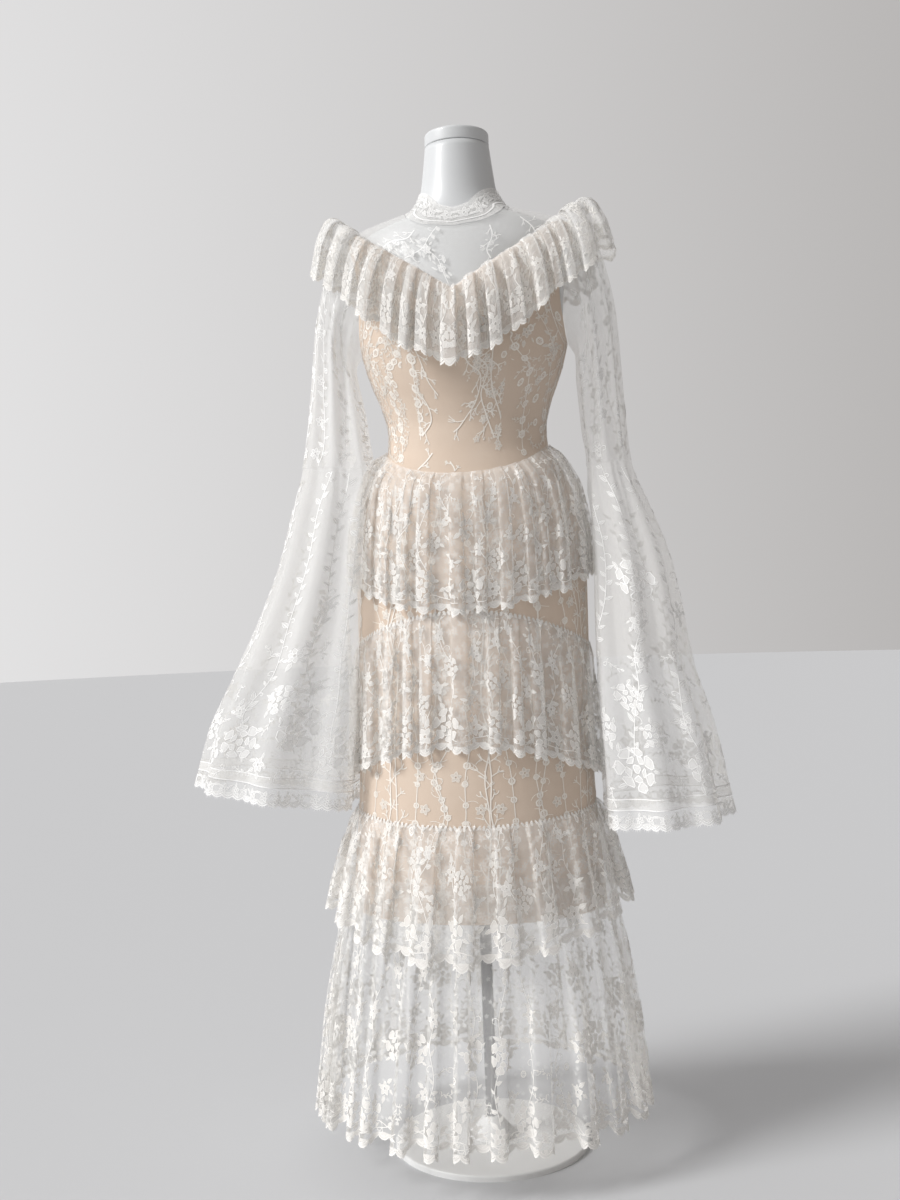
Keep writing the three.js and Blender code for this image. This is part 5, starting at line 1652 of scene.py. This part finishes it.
# %% Lace of the skirt
def skirt_strip(rng):
    shapes = Shapes()
    for x in (-34, 8):
        points = [(x + rng.uniform(-13, 13), -y) for y in np.linspace(40, 690, 13)]
        rosette_chain(shapes, points, rng, 29, 0.85)
    points = [(34 + rng.uniform(-8, 8), -y) for y in np.linspace(690, 40, 13)]
    branching_vine(shapes, points, rng, 34, 22)
    for y in (180, 232, 470, 520):
        shapes.stamp(BLOSSOM_5, rng.uniform(-30, 30), -y, rng.uniform(0, 70), 0.9)
    return shapes.joined()


strips = [skirt_strip(rng) for _ in range(3)]
count = round(skirt.width.max() / 92)
strip_jobs = []
for k in range(count):
    across = (k / count - 0.5) * skirt.width[0]
    strip_jobs.append((strips[k % 3], across, 0, k % 2 == 1, False))
lay_lace("skirt_lace", skirt, strip_jobs, WARM)

# %% [markdown]
# The sleeves are sheer, with leafy strips down the upper arm. The bell has large roses near its hem, placed
# one by one as they hang, and vines that climb from them and thin out.


# %% Lace of the sleeves
BELL_SPREAD = 700


def bell_lace(rng, flowers, vines, low):
    """Roses and vines from tables of across and down, and small leaves near the hem."""
    shapes, taken = Shapes(), []
    for points in vines:
        vine(shapes, [(x, -y) for x, y in points], rng, 12, 1.0)
        taken += [(x, -y, 8) for x, y in points]
    raised = [(motif, x, -y, turn, size, leaves) for motif, x, y, turn, size, leaves in flowers]
    set_roses(shapes, taken, raised, rng, 1.0, 6)
    scatter(shapes, taken, BELL_SPREAD, -low, -low + 90, 22, rng, TWIGS, (0.8, 1.2))
    scatter(shapes, taken, BELL_SPREAD, -low + 90, -low + 210, 36, rng, TWIGS, (0.8, 1.1))
    return shapes.joined()


LEFT_BELL_ROSES = [
    (ROSE, -111, 183, 0, 1.4, 7), (ROSE, -215, 458, 20, 1.5, 8), (ROSE, -250, 396, 50, 1.0, 6),
    (ROSE, -186, 356, 10, 1.05, 6), (ROSE, -166, 410, 70, 0.85, 5), (BLOSSOM_6, -140, 300, 0, 1.4, 5),
    (BLOSSOM_5, -128, 246, 0, 1.3, 5), (ROSE, -100, 466, 0, 1.2, 6), (BLOSSOM_6, -108, 400, 10, 1.3, 5),
    (ROSE, -306, 450, 0, 1.15, 6), (ROSE, 20, 458, 10, 1.4, 7), (BLOSSOM_6, -40, 430, 0, 1.4, 5),
    (BLOSSOM_5, 60, 396, 20, 1.0, 5), (ROSE, 120, 462, 30, 0.9, 6), (ROSE, 210, 440, 0, 1.1, 7),
    (BLOSSOM_6, 290, 470, 0, 1.0, 5), (BLOSSOM_5, 10, 340, 0, 1.0, 4), (ROSE, 90, 300, 15, 0.8, 5),
    (BLOSSOM_5, -20, 240, 0, 0.9, 4), (BLOSSOM_5, 170, 350, 0, 0.9, 4),
]
LEFT_BELL_VINES = [
    [(-215, 440), (-196, 390), (-160, 340), (-146, 290), (-118, 236), (-112, 180), (-96, 120),
     (-84, 50), (-88, 4)],
    [(-100, 452), (-112, 398), (-92, 330), (-70, 262), (-58, 180), (-44, 90), (-50, 10)],
    [(20, 440), (10, 360), (22, 280), (-6, 200), (8, 110), (-4, 20)],
    [(120, 442), (96, 330), (76, 240), (84, 150), (66, 60)],
    [(210, 420), (170, 340), (140, 260), (120, 170), (110, 80)],
    [(-300, 430), (-262, 360), (-222, 290), (-172, 210), (-140, 120), (-122, 40)],
]
RIGHT_BELL_ROSES = [
    (ROSE, 205, 404, 0, 1.5, 8), (ROSE, 150, 358, 20, 1.05, 6), (ROSE, 112, 430, 50, 1.3, 7),
    (BLOSSOM_6, 160, 462, 10, 1.3, 5), (ROSE, 268, 442, 70, 1.2, 6), (BLOSSOM_5, 196, 340, 0, 1.3, 5),
    (BLOSSOM_6, 138, 290, 0, 1.3, 5), (BLOSSOM_5, 150, 214, 0, 1.2, 5), (ROSE, 56, 452, 0, 1.15, 6),
    (ROSE, 16, 412, 30, 1.0, 6), (ROSE, -60, 446, 10, 1.4, 7), (BLOSSOM_6, -10, 356, 0, 1.3, 4),
    (ROSE, -160, 440, 10, 0.9, 6), (BLOSSOM_5, -110, 380, 10, 1.0, 4), (ROSE, -250, 450, 10, 1.0, 7),
    (BLOSSOM_5, 90, 380, 0, 1.0, 5), (BLOSSOM_6, -200, 370, 0, 0.9, 4), (BLOSSOM_5, 320, 440, 0, 1.0, 4),
]
RIGHT_BELL_VINES = [
    [(205, 388), (192, 344), (160, 296), (148, 214), (126, 150), (112, 80), (104, 8)],
    [(112, 414), (98, 380), (112, 320), (96, 240), (84, 150), (70, 60), (76, 6)],
    [(265, 428), (246, 370), (214, 300), (186, 220), (156, 130), (132, 40)],
    [(20, 404), (6, 350), (20, 270), (2, 180), (12, 90), (0, 20)],
    [(-60, 430), (-52, 350), (-70, 260), (-50, 170), (-56, 70)],
    [(-160, 424), (-140, 340), (-120, 250), (-104, 160)],
    [(-250, 430), (-220, 350), (-180, 260), (-140, 170), (-120, 80)],
]


def upper_lace(rng, width):
    """Leafy strips down the upper arm, side by side, with twigs between them."""
    shapes = Shapes()
    for x in np.arange(-width / 2 + 20, width / 2 - 10, 44):
        points = [(x + rng.uniform(-7, 7), -y) for y in (290, 235, 180, 125, 70, 15)]
        vine(shapes, points, rng, 12, 0.85)
        for y in (48, 104, 168, 226, 272):
            motif = (BLOSSOM_5, BLOSSOM_6, RING)[int(rng.integers(3))]
            shapes.stamp(motif, x + rng.uniform(-9, 9), -y, 20, 0.85)
    return shapes.joined()


BELLS = {"left": (LEFT_BELL_ROSES, LEFT_BELL_VINES), "right": (RIGHT_BELL_ROSES, RIGHT_BELL_VINES)}
for side, tables in BELLS.items():
    lace = bell_lace(rng, *tables, cloths["bell_" + side].length - 14)
    sew_on("bell_" + side, lace, materials=WHITE)
    sew_on("upper_" + side, upper_lace(rng, cloths["upper_" + side].width[-1]), materials=WHITE)

# %% [markdown]
# The bell is finished with a flat folded band, edged by two cords, and a scalloped trim
# with a fringe like eyelashes.

# %% Bands and trims of the sleeves
EYELET_ROW = [(BLOSSOM_5, -8, 10, 0, 0.7, 3), (BLOSSOM_6, 12, 9, 20, 0.6, 3)]
for side in ("left", "right"):
    bell, trim = cloths["bell_" + side], cloths["trim_" + side]
    hem = bell.width[-1]
    *band, threads = run_of_cord(hem, 15, 0.25, 9)
    runs = [run_of_cord(hem, 1.6, 0.5, 1.5), run_of_cord(hem, 1.6, 0.5, 17), (*band, 0 * threads)]
    jobs = [(run, 0, bell.length, False, True) for run in runs]
    lay_lace(f"bell_{side}_band", bell, jobs, [SLEEVE_NET, WHITE[1]])
    small = lace_repeat(40, 20, EYELET_ROW, [], 62, 11, sizes=(0.4, 0.6))
    lobes = edging(trim, 17, 4.5, 61, lashes=7, lash_length=4.5)
    lay_lace(f"trim_{side}_lace", trim, lobes + tiled(trim, [small], 40, hem), WHITE)

# %% [markdown]
# The size each sheet was cut at and its area are printed, and the solids it stands for are hidden.

# %% Say what was cut
for name, piece in panel_pieces.items():
    declare(piece, panels[name], [name])
declare(collar_piece, collar, ["collar"])
skirt_nodes = ["skirt_front", "skirt_back_left", "skirt_back_right"]
declare(skirt_piece, skirt, skirt_nodes)
for name, piece in cloth_pieces.items():
    nodes = [name]
    if name == "tier_4":
        nodes = ["tier_4_front", "tier_4_back"]
    elif name == "neck_ruffle":
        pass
    elif name in sleeves:
        part, side = name.split("_")
        nodes = ["sleeve_" + name]
    declare(piece, cloths[name], nodes)

# %% [markdown]
# The stage is a pale floor under an even studio sky, brighter on the viewer's left, where
# a large window would be. A broad soft lamp on that side shapes the folds.


# %% Stage and light
def soft_lamp(name, turn, height, strength, spread):
    """A far lamp. turn is its angle from the front, towards the wearer's left."""
    light = bpy.data.lights.new(name, "SUN")
    light.energy, light.angle = strength, math.radians(spread)
    lamp = bpy.data.objects.new(name, light)
    scene.collection.objects.link(lamp)
    level = math.cos(math.radians(height))
    x, y = math.sin(math.radians(turn)), -math.cos(math.radians(turn))
    away = Vector((x * level, y * level, math.sin(math.radians(height))))
    lamp.rotation_euler = away.to_track_quat("Z", "Y").to_euler()


def studio_sky():
    world = bpy.data.worlds.new("studio_sky")
    world.use_nodes = True
    nodes, links = world.node_tree.nodes, world.node_tree.links
    parts = nodes.new("ShaderNodeSeparateXYZ")
    links.new(nodes.new("ShaderNodeTexCoord").outputs["Generated"], parts.inputs[0])
    fade = nodes.new("ShaderNodeMapRange")
    fade.inputs["From Min"].default_value = -1
    links.new(parts.outputs["X"], fade.inputs["Value"])
    shade = nodes.new("ShaderNodeValToRGB")
    for stop, color in zip(shade.color_ramp.elements, ((1.0, 1.0, 1.01, 1), (0.13, 0.108, 0.09, 1))):
        stop.color = color
    links.new(fade.outputs["Result"], shade.inputs["Fac"])
    links.new(shade.outputs["Color"], nodes["Background"].inputs["Color"])
    scene.world = world


bpy.ops.object.select_all(action="DESELECT")
bpy.ops.mesh.primitive_circle_add(vertices=128, radius=14, fill_type="NGON")
floor = bpy.context.object
floor.name = "studio_floor"
floor.data.materials.append(Finish("studio_floor", (0.54, 0.545, 0.555), 0.9).material)
studio_sky()
soft_lamp("key_light", -60, 36, 2.7, 22)

# %% [markdown]
# The camera stands where the photographer stood: two metres off, a little to the wearer's
# left, at hip height, and rolled by two degrees.

# %% Camera
CAMERA_TURN, CAMERA_PITCH, CAMERA_ROLL = math.radians(8.6), math.radians(-0.43), math.radians(2.1)
CAMERA_REACH, CAMERA_SIDE, CAMERA_HEIGHT = 2.090, -0.036, 0.856

sin_t, cos_t = math.sin(CAMERA_TURN), math.cos(CAMERA_TURN)
forward = Vector((-sin_t * math.cos(CAMERA_PITCH), cos_t * math.cos(CAMERA_PITCH), math.sin(CAMERA_PITCH)))
right = Vector((cos_t, sin_t, 0))
upward = right.cross(forward)
c, s = math.cos(CAMERA_ROLL), math.sin(CAMERA_ROLL)
right, upward = c * right - s * upward, s * right + c * upward
camera = bpy.data.objects.new("camera", bpy.data.cameras.new("camera"))
scene.collection.objects.link(camera)
axes = Matrix((right, upward, -forward)).transposed().to_4x4()
place_x = sin_t * CAMERA_REACH + cos_t * CAMERA_SIDE
place_y = -cos_t * CAMERA_REACH + sin_t * CAMERA_SIDE
camera.matrix_world = Matrix.Translation((place_x, place_y, CAMERA_HEIGHT)) @ axes
camera.data.lens, camera.data.sensor_width = 40.5, 36
scene.camera = camera
scene.view_settings.view_transform = "Standard"
scene.cycles.transparent_max_bounces = 28
